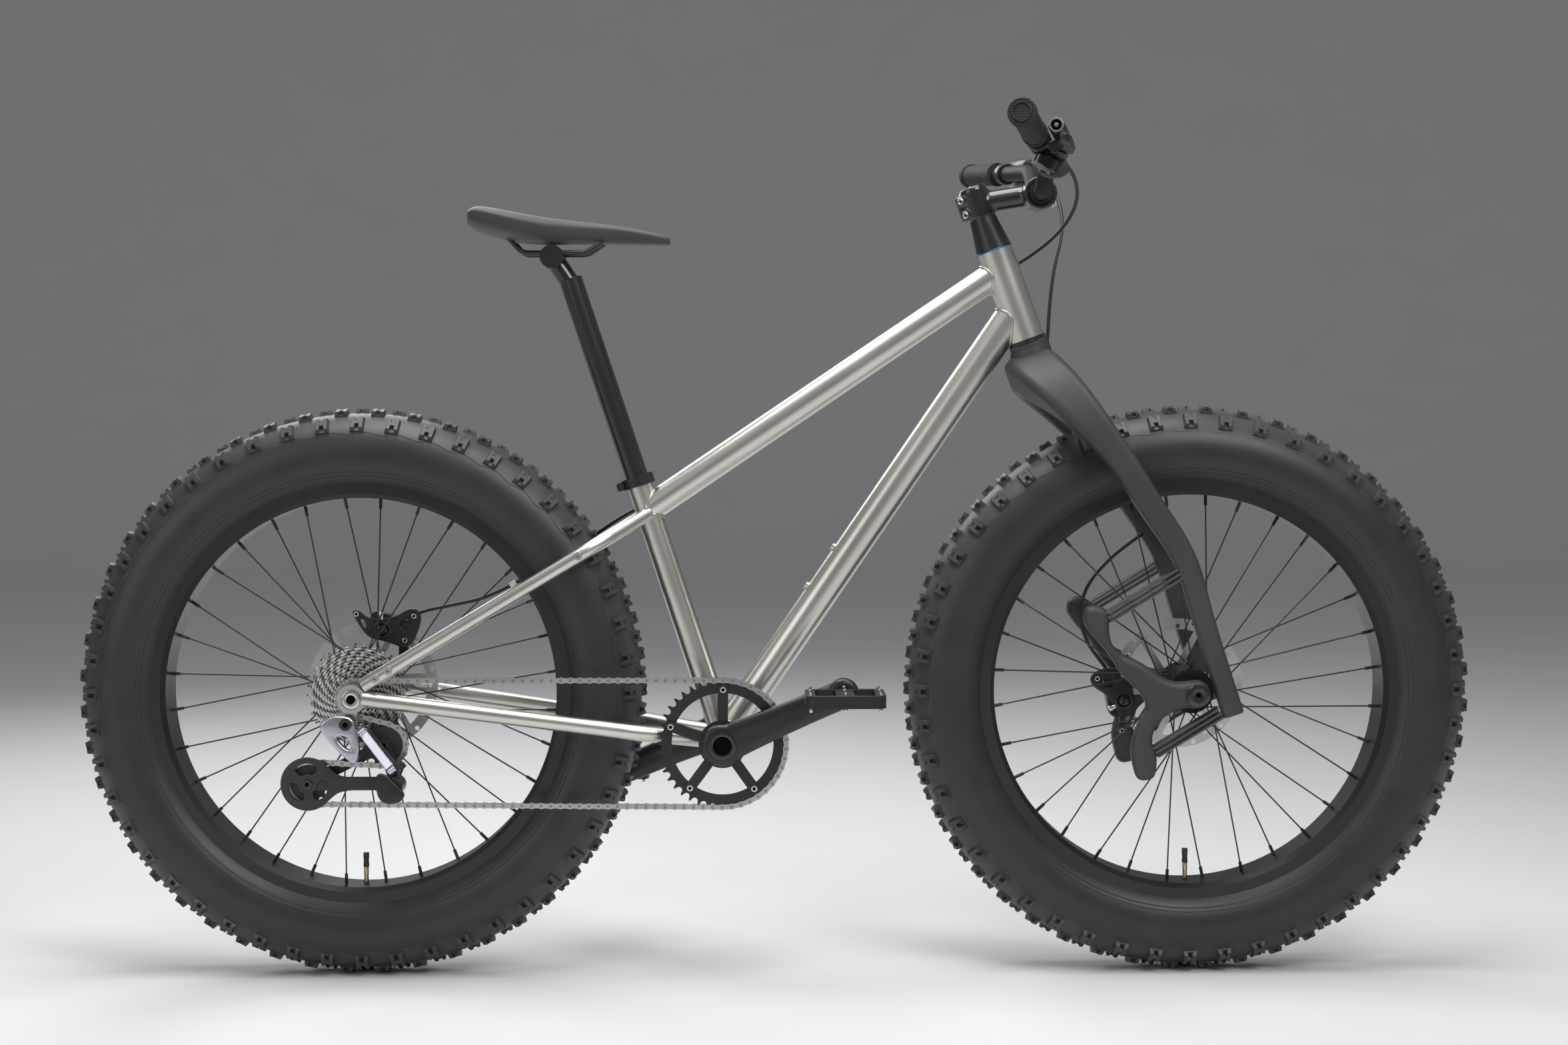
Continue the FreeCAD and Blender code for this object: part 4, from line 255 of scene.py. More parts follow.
@dataclass(frozen=True)
class GrainFinish:
    """A plain finish with a fine grain in its colour, its gloss and its surface."""

    name: str
    dark: Colour
    light: Colour
    rough: float
    rough_swing: float
    grain: float
    depth: float
    metallic: float = 0.0
    coat: float = 0.0
    specular: float = 0.5
    patches: float = 7.0
    patch_share: float = 0.75

    def build(self) -> bpy.types.Material:
        """Make the material."""
        graph = Graph(self.name)
        fine = graph.noise(self.grain)
        broad = graph.noise(self.patches, 2.0)
        share = broad * self.patch_share + fine * (1 - self.patch_share)
        gloss = fine * self.rough_swing + broad * self.rough_swing + (self.rough - self.rough_swing)
        graph.set(Base_Color=graph.blend(share.between(0.2, 0.8), self.dark, self.light), Roughness=gloss,
                  Metallic=self.metallic, Coat_Weight=self.coat, Coat_Roughness=0.12,
                  Specular_IOR_Level=self.specular)
        graph.relief(fine, 0.12, self.depth)
        return graph.material


@dataclass(frozen=True)
class TyreFinish:
    """Moulded rubber: a lighter grey tread band with a scalloped edge, bead lines and a satin sidewall."""

    name: str
    centre: Point
    tread_r: float
    bead_r: float = 0.296
    scallops: float = 48.0

    def build(self) -> bpy.types.Material:
        """Make the material."""
        graph = Graph(self.name)
        x, _, z = graph.parts(graph.moved(self.centre))
        radius = (x * x + z * z).root()
        scallop = (z.turn(x) * self.scallops).wave() * 0.0016
        wander = graph.noise(26.0, 4.0)
        band = (radius + scallop).between(self.tread_r - 0.0008, self.tread_r + 0.0008)
        # Lighter and a little rougher towards the tread.
        lighter_tread_share = (radius + wander * 0.01).between(self.tread_r + 0.004, self.tread_r + 0.026)
        grain = graph.noise(900.0, 3.0)
        side = graph.blend(wander, (0.017, 0.017, 0.018), (0.028, 0.028, 0.029))
        tread = graph.blend(wander, (0.034, 0.034, 0.035), (0.060, 0.060, 0.062))
        bead = self.ridge(radius, self.bead_r) + self.ridge(radius, self.bead_r + 0.005)
        graph.set(Base_Color=graph.blend(lighter_tread_share * 0.6 + band * 0.4, side, tread),
                  Roughness=wander * 0.12 + grain * 0.06 + lighter_tread_share * 0.05 + 0.34, Specular_IOR_Level=0.5)
        graph.relief(grain * 0.06 + band * 0.5 + bead * 0.4, 0.7, 0.0012)
        return graph.material

    @staticmethod
    def ridge(radius: Value, place: float) -> Value:
        """A thin moulded line round the tyre.

        Args:
            radius: The distance from the axle.
            place: The line's own distance.
        Returns:
            The line's height, from 0 to 1.
        """
        return radius.between(place - 0.0009, place) * (1 - radius.between(place, place + 0.0009))


@dataclass(frozen=True)
class CogFinish:
    """Steel cogs with painted shade: dark bands between the cog rings and dark lobes where the holes are,
    over bright steel.
    """

    name: str
    centre: Point
    ring_step: float = 0.0041
    lobes: float = 24.0

    def build(self) -> bpy.types.Material:
        """Make the material."""
        graph = Graph(self.name)
        x, _, z = graph.parts(graph.moved(self.centre))
        radius = (x * x + z * z).root()
        # Painted shade: a wave over the radius darkens bands between the cog rings, and a wave round the
        # axle darkens lobes for the holes.
        rings = (radius * (2 * math.pi / self.ring_step)).wave()
        lobes = (z.turn(x) * self.lobes + radius * 420.0).wave()
        grain = graph.noise(420.0, 3.0)
        # The painted shade of the rings and lobes, mixed with a grain of random tone; the light colour is
        # the steel's own.
        share = (rings * 0.3 + lobes * 0.3 + grain).between(0.1, 0.8)
        graph.set(Base_Color=graph.blend(share, (0.10, 0.097, 0.092), (0.80, 0.78, 0.74)),
                  Roughness=grain * 0.2 + 0.18, Metallic=1.0)
        graph.relief(rings * 0.2 + lobes * 0.3 + 0.5, 0.5, 0.0008)
        return graph.material


@dataclass(frozen=True)
class CoverFinish:
    """A saddle's synthetic cover with a pebbled grain."""

    name: str

    def build(self) -> bpy.types.Material:
        """Make the material."""
        graph = Graph(self.name)
        pebble = graph.cells(900.0)
        broad = graph.noise(14.0, 3.0)
        graph.set(Base_Color=graph.blend(broad, (0.032, 0.033, 0.035), (0.058, 0.059, 0.062)),
                  Roughness=broad * 0.12 + pebble * 0.1 + 0.46, Specular_IOR_Level=0.4, Sheen_Weight=0.1)
        graph.relief(pebble, 0.35, 0.0004)
        return graph.material


@dataclass(frozen=True)
class GripFinish:
    """Moulded grip rubber with a fine diamond relief."""

    name: str
    weave: float = 900.0

    def build(self) -> bpy.types.Material:
        """Make the material."""
        graph = Graph(self.name)
        _, y, z = graph.parts(graph.place())
        first = (y * self.weave + z * self.weave).wave()
        second = (y * self.weave - z * self.weave).wave()
        diamond = first * second * 0.5 + 0.5
        wear = graph.noise(40.0, 3.0)
        graph.set(Base_Color=graph.blend(wear, (0.018, 0.018, 0.018), (0.035, 0.035, 0.036)),
                  Roughness=wear * 0.15 + 0.58, Specular_IOR_Level=0.22)
        graph.relief(diamond, 0.5, 0.0012)
        return graph.material


class Finish(Enum):
    """The bicycle's finishes."""

    TITANIUM = GrainFinish(
        "brushed_titanium", (0.58, 0.555, 0.505), (0.71, 0.685, 0.635), 0.31, 0.05, 1500.0, 0.00002,
        metallic=1.0)
    WELD = GrainFinish(
        "weld_metal", (0.40, 0.37, 0.33), (0.58, 0.55, 0.50), 0.36, 0.12, 260.0, 0.0002, metallic=1.0)
    SATIN_BLACK = GrainFinish(
        "satin_black", (0.010, 0.010, 0.011), (0.019, 0.019, 0.020), 0.34, 0.06, 900.0, 0.00003)
    GLOSS_BLACK = GrainFinish(
        "gloss_black", (0.010, 0.010, 0.011), (0.018, 0.018, 0.019), 0.22, 0.05, 600.0, 0.00003,
        coat=0.6)
    CARBON = GrainFinish(
        "matte_carbon", (0.030, 0.031, 0.032), (0.048, 0.049, 0.051), 0.52, 0.08, 700.0, 0.00006)
    STEEL = GrainFinish(
        "bare_steel", (0.42, 0.41, 0.40), (0.62, 0.61, 0.59), 0.30, 0.1, 500.0, 0.00006, metallic=1.0)
    ROTOR = GrainFinish(
        "rotor_steel", (0.52, 0.50, 0.47), (0.70, 0.68, 0.65), 0.32, 0.1, 800.0, 0.00004, metallic=1.0)
    GREY_ALLOY = GrainFinish(
        "grey_alloy", (0.20, 0.20, 0.205), (0.32, 0.32, 0.325), 0.36, 0.08, 500.0, 0.00006, metallic=0.9)
    NYLON = GrainFinish(
        "dark_nylon", (0.016, 0.016, 0.017), (0.030, 0.030, 0.031), 0.50, 0.1, 600.0, 0.0001)
    HOSE = GrainFinish(
        "hose_jacket", (0.011, 0.011, 0.011), (0.022, 0.022, 0.022), 0.42, 0.1, 500.0, 0.0001)
    BRASS = GrainFinish(
        "worn_brass", (0.45, 0.36, 0.20), (0.65, 0.54, 0.33), 0.30, 0.1, 600.0, 0.00005, metallic=1.0)
    BLUE = GrainFinish(
        "blue_anodised", (0.02, 0.10, 0.30), (0.03, 0.16, 0.42), 0.30, 0.08, 600.0, 0.00004,
        metallic=0.8)
    MATTE_BLACK = GrainFinish(
        "matte_black", (0.011, 0.011, 0.012), (0.020, 0.020, 0.021), 0.55, 0.06, 900.0, 0.00003,
        specular=0.18)
    GLOSS_CARBON = GrainFinish(
        "gloss_carbon", (0.045, 0.046, 0.048), (0.075, 0.076, 0.079), 0.28, 0.06, 500.0, 0.00003,
        coat=0.5)
    LILAC_ALLOY = GrainFinish(
        "lilac_alloy", (0.44, 0.44, 0.50), (0.60, 0.60, 0.67), 0.26, 0.06, 700.0, 0.00003, metallic=1.0)
    POLISHED = GrainFinish(
        "polished_steel", (0.66, 0.65, 0.63), (0.82, 0.81, 0.79), 0.18, 0.05, 700.0, 0.00003,
        metallic=1.0)
    # Painted shade: near-black discs on the socket floors stand in for the shade inside each socket.
    SOCKET_SHADE = GrainFinish(
        "painted_socket_shade", (0.002, 0.002, 0.002), (0.004, 0.004, 0.004), 0.9, 0.05, 300.0, 0.00002,
        specular=0.05)
    # Cogs whose colour carries painted shade between the rings and in the holes.
    COGS = CogFinish("cogs_painted_shade", REAR_AXLE)
    COVER = CoverFinish("saddle_cover")
    GRIP = GripFinish("grip_rubber")

    def material(self) -> bpy.types.Material:
        """The finish's material, made once."""
        return bpy.data.materials.get(self.value.name) or self.value.build()


# A finish with the record's material slot that it belongs to.
GLOSS = (Finish.GLOSS_BLACK, "black_alloy")
BLACK = (Finish.SATIN_BLACK, "black_alloy")
BRIGHT = (Finish.POLISHED, "bright_steel")
GREY = (Finish.GREY_ALLOY, "grey_alloy")
LILAC = (Finish.LILAC_ALLOY, "grey_alloy")
NYLON = (Finish.NYLON, "pulley")
CARBON = (Finish.CARBON, "carbon")


class Bench:
    """The modelling operators, with everything else let go first."""

    @staticmethod
    def clear() -> None:
        """Deselect everything."""
        bpy.ops.object.select_all(action="DESELECT")

    @staticmethod
    def hold(piece: bpy.types.Object) -> None:
        """Select one piece alone."""
        Bench.clear()
        piece.select_set(True)
        bpy.context.view_layer.objects.active = piece

    @staticmethod
    def named(name: str) -> bpy.types.Object:
        """Name the piece that was just added, and return it."""
        piece = bpy.context.object
        piece.name = name
        piece.data.name = name
        return piece

    @staticmethod
    def settle(piece: bpy.types.Object) -> None:
        """Put the piece's place in its mesh."""
        Bench.hold(piece)
        bpy.ops.object.transform_apply(location=True, rotation=True, scale=True)

    @staticmethod
    def modify(piece: bpy.types.Object, kind: str, **settings: Any) -> None:
        """Add one modifier and apply it.

        Args:
            piece: The piece.
            kind: The modifier's type.
            settings: Its settings.
        """
        Bench.hold(piece)
        modifier = piece.modifiers.new(kind.lower(), kind)
        for key, setting in settings.items():
            setattr(modifier, key, setting)
        bpy.ops.object.modifier_apply(modifier=modifier.name)

    @staticmethod
    def ring_copies(piece: bpy.types.Object, centre: Vector, count: int) -> None:
        """Repeat the piece evenly round a cross axis."""
        turner = bpy.data.objects.new("turner", None)
        bpy.context.scene.collection.objects.link(turner)
        turner.matrix_world = (Matrix.Translation(centre) @ Matrix.Rotation(2 * math.pi / count, 4, "Y")
                               @ Matrix.Translation(-centre))
        bpy.context.view_layer.update()
        Bench.modify(piece, "ARRAY", fit_type="FIXED_COUNT", count=count, use_relative_offset=False,
                     use_object_offset=True, offset_object=turner)
        bpy.data.objects.remove(turner)

    @staticmethod
    def join(pieces: Sequence[bpy.types.Object], name: str) -> bpy.types.Object:
        """Join pieces in one object.

        Args:
            pieces: The pieces.
            name: The joined piece's name.
        Returns:
            The joined piece.
        """
        Bench.hold(pieces[0])
        for piece in pieces:
            piece.select_set(True)
        bpy.ops.object.join()
        return Bench.named(name)

    @staticmethod
    @contextmanager
    def editing(piece: bpy.types.Object) -> Iterator[None]:
        """Edit the piece's mesh, with all of it selected."""
        Bench.hold(piece)
        bpy.ops.object.mode_set(mode="EDIT")
        bpy.ops.mesh.select_all(action="SELECT")
        yield
        bpy.ops.object.mode_set(mode="OBJECT")

    @staticmethod
    def outward(piece: bpy.types.Object) -> None:
        """Turn the piece's faces outwards."""
        with Bench.editing(piece):
            bpy.ops.mesh.normals_make_consistent(inside=False)

    @staticmethod
    def weld(piece: bpy.types.Object) -> None:
        """Merge the piece's doubled points."""
        with Bench.editing(piece):
            bpy.ops.mesh.remove_doubles(threshold=SAME_POINT)

    @staticmethod
    def cut(piece: bpy.types.Object, places: Sequence[Point], way: Point) -> None:
        """Cut new edges through the whole piece.

        Args:
            piece: The piece.
            places: A point on each cutting plane.
            way: The way that the planes face.
        """
        with Bench.editing(piece):
            for place in places:
                bpy.ops.mesh.select_all(action="SELECT")
                bpy.ops.mesh.bisect(plane_co=place, plane_no=way)

    @staticmethod
    def smooth(piece: bpy.types.Object, degrees: float = 35.0) -> None:
        """Shade the piece smooth, with its sharp edges kept."""
        Bench.hold(piece)
        bpy.ops.object.shade_smooth_by_angle(angle=math.radians(degrees))

    @staticmethod
    def dress(piece: bpy.types.Object, material: bpy.types.Material) -> None:
        """Give the piece one material."""
        piece.data.materials.clear()
        piece.data.materials.append(material)

    @staticmethod
    def curve(name: str, **settings: Any) -> bpy.types.Curve:
        """Start a curve with its settings."""
        curve = bpy.data.curves.new(name, "CURVE")
        for key, setting in settings.items():
            setattr(curve, key, setting)
        return curve

    @staticmethod
    def line(curve: bpy.types.Curve, kind: str, points: Sequence[Point]) -> bpy.types.Spline:
        """Add a line to a curve.

        Args:
            curve: The curve.
            kind: The line's type.
            points: Its points.
        Returns:
            The line.
        """
        line = curve.splines.new(kind)
        line.points.add(len(points) - 1)
        for spot, point in zip(line.points, points):
            spot.co = (*point, 1.0)
        return line

    @staticmethod
    def solid(curve: bpy.types.Curve) -> bpy.types.Object:
        """Turn a thick curve into a mesh piece of its name."""
        piece = bpy.data.objects.new(curve.name, curve)
        bpy.context.scene.collection.objects.link(piece)
        Bench.hold(piece)
        bpy.ops.object.convert(target="MESH")
        return bpy.context.object

    @staticmethod
    def fit(piece: bpy.types.Object, body: str, finish: Finish, slot: str, degrees: float = 35.0) -> None:
        """Shade and dress a finished piece and let it ride on a body.

        Args:
            piece: The piece.
            body: The body that it rides on.
            finish: Its finish.
            slot: The record's material slot; not used.
            degrees: The angle up to which its edges look smooth.
        """
        Bench.smooth(piece, degrees)
        Bench.dress(piece, finish.material())
        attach(piece, body)
        LOG.info("%s", piece.name)


@dataclass
class KnobblyTyre:
    """One fat tyre: a round casing and rows of notched tread blocks."""

    end: str
    centre: Point
    casing_r: float = 0.055
    middle_r: float = 0.3245
    outer_r: float = 0.385
    block_height: float = 0.0052
    block_foot: float = 0.004
    block_sink: float = 0.0026
    bridge_share: float = 0.13
    slot_share: float = 0.19
    prong_taper: float = 0.84
    count: int = 48
    rows: tuple[tuple[float, float, float, float], ...] = (
        (13.0, 0.0175, 0.019, 0.0), (-13.0, 0.0175, 0.019, 0.5),
        (45.0, 0.0185, 0.023, 0.5), (-45.0, 0.0185, 0.023, 0.0))

    def build(self) -> None:
        """Make the tyre and put it in place of the plain one."""
        casing = self.casing()
        blocks = [self.row(*row) for row in self.rows]
        tyre = Bench.join([casing] + blocks, self.end + "_tyre_rubber")
        Bench.smooth(tyre, 32.0)
        finish = TyreFinish(self.end + "_tyre_finish", self.centre, self.middle_r + 0.5 * self.casing_r)
        Bench.dress(tyre, finish.build())
        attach(tyre, self.end + "_wheel")
        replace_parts(tyre, self.end + "_tyre")
        LOG.info("%s", tyre.name)

    def casing(self) -> bpy.types.Object:
        """The round casing, on the wheel's axis."""
        Bench.clear()
        bpy.ops.mesh.primitive_torus_add(location=self.centre, rotation=(math.pi / 2, 0.0, 0.0),
                                         major_radius=self.middle_r, minor_radius=self.casing_r,
                                         major_segments=192, minor_segments=48)
        casing = Bench.named(self.end + "_casing")
        Bench.settle(casing)
        return casing

    def row(self, lean: float, length: float, width: float, phase: float) -> bpy.types.Object:
        """One row of tread blocks.

        Args:
            lean: The row's angle in the tyre's section, in degrees.
            length: A block's length round the tyre.
            width: A block's width.
            phase: The row's shift, in blocks.
        Returns:
            The row.
        """
        Bench.clear()
        angle = math.radians(lean)
        bpy.ops.mesh.primitive_cube_add(size=1.0)
        block = Bench.named("tread_block")
        block.scale = (self.block_foot, width, length)
        Bench.settle(block)
        self.raise_prongs(block, length, width)
        lift = self.casing_r + self.block_foot / 2 - self.block_sink
        offset = Vector((math.cos(angle) * lift, math.sin(angle) * lift, 0.0))
        top = self.middle_r + math.cos(angle) * (lift + self.block_foot / 2 + self.block_height)
        offset.x -= max(top - self.outer_r + 0.0004, 0.0)
        turn = Matrix.Rotation(2 * math.pi * phase / self.count, 4, "Y")
        block.matrix_world = (Matrix.Translation(self.centre) @ turn
                              @ Matrix.Translation(Vector((self.middle_r, 0.0, 0.0)) + offset)
                              @ Matrix.Rotation(angle, 4, "Z"))
        Bench.settle(block)
        Bench.ring_copies(block, Vector(self.centre), self.count)
        return block

    def raise_prongs(self, block: bpy.types.Object, length: float, width: float) -> None:
        """Raise two prongs and the bridge between them from a block's foot.

        Args:
            block: The foot, at the origin with its top along X.
            length: The block's length.
            width: The block's width.
        """
        Bench.hold(block)
        bpy.ops.object.mode_set(mode="EDIT")
        for way in (-1, 1):
            bpy.ops.mesh.select_all(action="SELECT")
            bridge_edge = (0.0, way * self.bridge_share * width, 0.0)
            bpy.ops.mesh.bisect(plane_co=bridge_edge, plane_no=(0.0, 1.0, 0.0))
            bpy.ops.mesh.select_all(action="SELECT")
            slot_edge = (0.0, 0.0, way * self.slot_share * length)
            bpy.ops.mesh.bisect(plane_co=slot_edge, plane_no=(0.0, 0.0, 1.0))
        bpy.ops.mesh.select_all(action="DESELECT")
        bpy.ops.object.mode_set(mode="OBJECT")
        for face in block.data.polygons:
            prong = abs(face.center.z) > self.slot_share * length
            bridge = abs(face.center.y) < self.bridge_share * width
            face.select = face.normal.x > 0.9 and (prong or bridge)
        bpy.ops.object.mode_set(mode="EDIT")
        rise = (self.block_height, 0.0, 0.0)
        bpy.ops.mesh.extrude_region_move(TRANSFORM_OT_translate={"value": rise})
        bpy.ops.transform.resize(value=(1.0, self.prong_taper, self.prong_taper))
        bpy.ops.object.mode_set(mode="OBJECT")


@dataclass
class SaddleCushion:
    """The padded saddle: a crowned top, drawn-in sides and a shallow channel."""

    clamp: Point = (-0.30001, 0.0, 0.97508)
    stations: tuple[tuple[float, float, float, float, float], ...] = (
        (-0.114, 0.050, 0.061, 0.054, 0.043), (-0.096, 0.068, 0.068, 0.057, 0.033),
        (-0.052, 0.070, 0.061, 0.047, 0.022), (-0.010, 0.052, 0.054, 0.039, 0.018),
        (0.035, 0.031, 0.049, 0.037, 0.018), (0.090, 0.022, 0.043, 0.034, 0.017),
        (0.135, 0.019, 0.035, 0.027, 0.016), (0.160, 0.013, 0.027, 0.022, 0.016))
    rings: int = 44
    around: int = 40
    channel: float = 0.0035
    channel_half: float = 0.009
    belly: float = 0.16

    def build(self) -> None:
        """Make the cushion and put it in place of the plain one."""
        vertices: list[Vector] = []
        faces: list[tuple[int, ...]] = []
        for ring in range(self.rings + 1):
            vertices += self.section(ring / self.rings)
        for ring in range(self.rings):
            for step in range(self.around):
                first = ring * self.around + step
                second = ring * self.around + (step + 1) % self.around
                faces.append((first, second, second + self.around, first + self.around))
        faces.append(tuple(reversed(range(self.around))))
        last = self.rings * self.around
        faces.append(tuple(range(last, last + self.around)))
        mesh = bpy.data.meshes.new("saddle_cushion")
        mesh.from_pydata(vertices, [], faces)
        cushion = bpy.data.objects.new("saddle_cushion", mesh)
        bpy.context.scene.collection.objects.link(cushion)
        Bench.outward(cushion)
        Bench.modify(cushion, "SUBSURF", levels=1, render_levels=1)
        Bench.fit(cushion, "seat", Finish.COVER, "cushion", 60.0)
        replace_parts(cushion, "saddle_pad")

    def at(self, share: float) -> list[float]:
        """The cushion's sizes at a share of its length, on a smooth curve through its stations."""
        place = share * (len(self.stations) - 1)
        index = min(int(place), len(self.stations) - 2)
        t = place - index
        row = [self.stations[min(max(index + step, 0), len(self.stations) - 1)] for step in (-1, 0, 1, 2)]
        sizes = []
        for a, b, c, d in zip(*row):
            sizes.append(0.5 * (2 * b + (c - a) * t + (2 * a - 5 * b + 4 * c - d) * t * t
                                + (3 * b - a - 3 * c + d) * t ** 3))
        return sizes

    def section(self, share: float) -> list[Vector]:
        """One ring of the cushion.

        Args:
            share: The ring's share of the length, from the tail.
        Returns:
            The ring's points.
        """
        x, half, crown, edge, foot = self.at(share)
        end = min(share, 1 - share)
        tuck = min(1.0, 0.55 + end * 9.0)
        points = []
        for step in range(self.around):
            angle = 2 * math.pi * step / self.around
            across = math.copysign(abs(math.cos(angle)) ** 0.75, math.cos(angle)) * half * tuck
            up = math.sin(angle)
            if up >= 0:
                rise = crown - edge
                z = edge + rise * up ** 0.9
                groove = math.exp(-(across / self.channel_half) ** 2) * self.channel
                z -= groove * min(1.0, end * 5.0) * up
            else:
                z = edge + (edge - foot) * -(abs(up) ** 0.6)
                across *= 1 - self.belly * abs(up)
            points.append(Vector(self.clamp) + Vector((x, across, z)))
        return points


@dataclass
class SmoothHose:
    """A brake hose on one smooth line, from its lever or port to where it goes in."""

    name: str
    route: Sequence[Point]
    body: str
    far_body: str = ""
    bend_start: Point = (0.0, 0.0, 0.0)
    bend_end: Point = (0.0, 0.0, 0.0)
    radius: float = 0.0025

    def build(self) -> bpy.types.Object:
        """Make the hose and let it ride on its body, or bake it in place when it has a far body."""
        curve = Bench.curve(self.name, dimensions="3D", bevel_depth=self.radius, bevel_resolution=4,
                            resolution_u=10, use_fill_caps=True)
        line = Bench.line(curve, "NURBS", self.route)
        line.order_u = 3
        line.use_endpoint_u = True
        hose = Bench.solid(curve)
        Bench.smooth(hose, 60.0)
        Bench.dress(hose, Finish.HOSE.material())
        if self.far_body:
            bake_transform(hose)
        else:
            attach(hose, self.body)
        LOG.info("%s", hose.name)
        return hose


@dataclass
class LeafPack:
    """Three thin leaves between a fork leg and a spring link, which bend as the wheel rises."""

    name: str
    leg_end: Point
    link_end: Point
    leaves: int = 3
    step: float = 0.0065
    thick: float = 0.003
    width: float = 0.022
    bends: int = 12

    def build(self) -> bpy.types.Object:
        """Make the pack and bake it in place between the fork and the link."""
        start = Vector(self.leg_end)
        end = Vector(self.link_end)
        run = end - start
        tilt = math.atan2(run.z, run.x)
        across = Vector((-math.sin(tilt), 0.0, math.cos(tilt)))
        pieces = []
        for index in range(self.leaves):
            Bench.clear()
            bpy.ops.mesh.primitive_cube_add(size=1.0)
            leaf = Bench.named(self.name + "_leaf")
            leaf.scale = (run.length, self.width, self.thick)
            Bench.settle(leaf)
            cuts = [(run.length * (cut / self.bends - 0.5), 0.0, 0.0) for cut in range(1, self.bends)]
            Bench.cut(leaf, cuts, (1.0, 0.0, 0.0))
            Bench.modify(leaf, "BEVEL", width=0.0007, segments=2)
            middle = (start + end) / 2 + across * (self.step * (index - (self.leaves - 1) / 2))
            leaf.rotation_euler = (0.0, -tilt, 0.0)
            leaf.location = middle
            Bench.settle(leaf)
            pieces.append(leaf)
        pack = Bench.join(pieces, self.name)
        Bench.smooth(pack)
        Bench.dress(pack, Finish.GLOSS_CARBON.material())
        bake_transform(pack)
        LOG.info("%s", pack.name)
        return pack


@dataclass
class WeldBead:
    """A rippled bead where one round tube ends on another."""

    name: str
    start: Point
    end: Point
    radius: float
    seat_start: Point
    seat_end: Point
    seat_radius: float
    bead: float = 0.0024
    dip: float = 0.8
    ripples: int = 46

    def build(self) -> None:
        """Make the bead along the line where the two tubes meet."""
        a = Vector(self.start)
        run = (Vector(self.end) - a).normalized()
        seat = Vector(self.seat_start)
        seat_run = (Vector(self.seat_end) - seat).normalized()
        side = run.cross(seat_run).normalized()
        over = side.cross(run)
        line = []
        for step in range(self.ripples * 2):
            angle = math.pi * step / self.ripples
            base = a + side * (math.cos(angle) * self.radius) + over * (math.sin(angle) * self.radius)
            line.append(self.seated(base, run, seat, seat_run))
        curve = Bench.curve(self.name, dimensions="3D", bevel_depth=self.bead, bevel_resolution=2)
        spline = Bench.line(curve, "POLY", line)
        for spot in list(spline.points)[::2]:
            spot.radius = self.dip
        spline.use_cyclic_u = True
        Bench.fit(Bench.solid(curve), "frame", Finish.WELD, "titanium", 80.0)

    def seated(self, base: Vector, run: Vector, seat: Vector, seat_run: Vector) -> Vector:
        """Slide a point of the tube along it until it meets the seat tube.

        Args:
            base: A point on the tube's wall.
            run: The tube's direction, towards the seat.
            seat: A point on the seat tube's axis.
            seat_run: The seat tube's direction.
        Returns:
            The point where they meet.
        """
        gap = base - seat
        flat_run = run - seat_run * run.dot(seat_run)
        flat_gap = gap - seat_run * gap.dot(seat_run)
        square = flat_run.length_squared
        half = flat_run.dot(flat_gap)
        rest = flat_gap.length_squared - self.seat_radius ** 2
        inside = max(half * half - square * rest, 0.0)
        return base + run * ((-half - math.sqrt(inside)) / square)


@dataclass
class Trim:
    """Small bright pieces: valve stems with caps, and the thin blue ring under the spacer."""

    rim_bed: float = 0.265
    valve_r: float = 0.0034
    valve_len: float = 0.0425
    stem_share: float = 0.55
    cap_wall: float = 0.0006
    waist: float = 0.9

    def build(self) -> None:
        """Make each piece."""
        stem = self.stem_share * self.valve_len
        for end, axle in (("rear", REAR_AXLE), ("front", FRONT_AXLE)):
            body = end + "_wheel"
            foot = Vector(axle) - Vector((0.0, 0.0, self.rim_bed - 0.0004))
            self.sleeve(end + "_valve_stem", body, foot, stem, self.valve_r, Finish.BRASS, "bright_steel")
            top = foot + Vector((0.0, 0.0, stem))
            self.sleeve(end + "_valve_cap", body, top, self.valve_len - stem, self.valve_r + self.cap_wall,
                        *NYLON)
        self.ring()

    def sleeve(self, name: str, body: str, foot: Vector, length: float, radius: float, finish: Finish,
               slot: str) -> None:
        """A small ridged upright sleeve.

        Args:
            name: The piece's name.
            body: The body that it rides on.
            foot: The middle of its lower end.
            length: Its height.
            radius: Its radius.
            finish: Its finish.
            slot: The record's material slot.
        """
        Bench.clear()
        middle = foot + Vector((0.0, 0.0, length / 2))
        bpy.ops.mesh.primitive_cylinder_add(vertices=24, radius=radius, depth=length, location=middle)
        sleeve = Bench.named(name)
        Bench.settle(sleeve)
        cuts = [foot + Vector((0.0, 0.0, length * share)) for share in (0.2, 0.3, 0.5, 0.6, 0.8)]
        Bench.cut(sleeve, cuts, (0.0, 0.0, 1.0))
        for vertex in sleeve.data.vertices:
            share = (vertex.co.z - foot.z) / length
            narrow = self.waist if 0.25 < share < 0.55 else 1.0
            vertex.co.x = foot.x + (vertex.co.x - foot.x) * narrow
            vertex.co.y *= narrow
        Bench.modify(sleeve, "BEVEL", width=0.0003, segments=2)
        Bench.fit(sleeve, body, finish, slot)

    def ring(self) -> None:
        """The thin ring between the head tube and the spacer."""
        axis = Vector(HEAD_WAY)
        Bench.clear()
        tilt = math.atan2(axis.x, axis.z)
        place = Vector(HEAD_TOP) + axis * 0.001
        bpy.ops.mesh.primitive_torus_add(location=place, rotation=(0.0, tilt, 0.0),
                                         major_radius=0.0245, minor_radius=0.0009, major_segments=64,
                                         minor_segments=10)
        ring = Bench.named("headset_ring")
        Bench.settle(ring)
        Bench.fit(ring, "frame", Finish.BLUE, "black_alloy", 60.0)


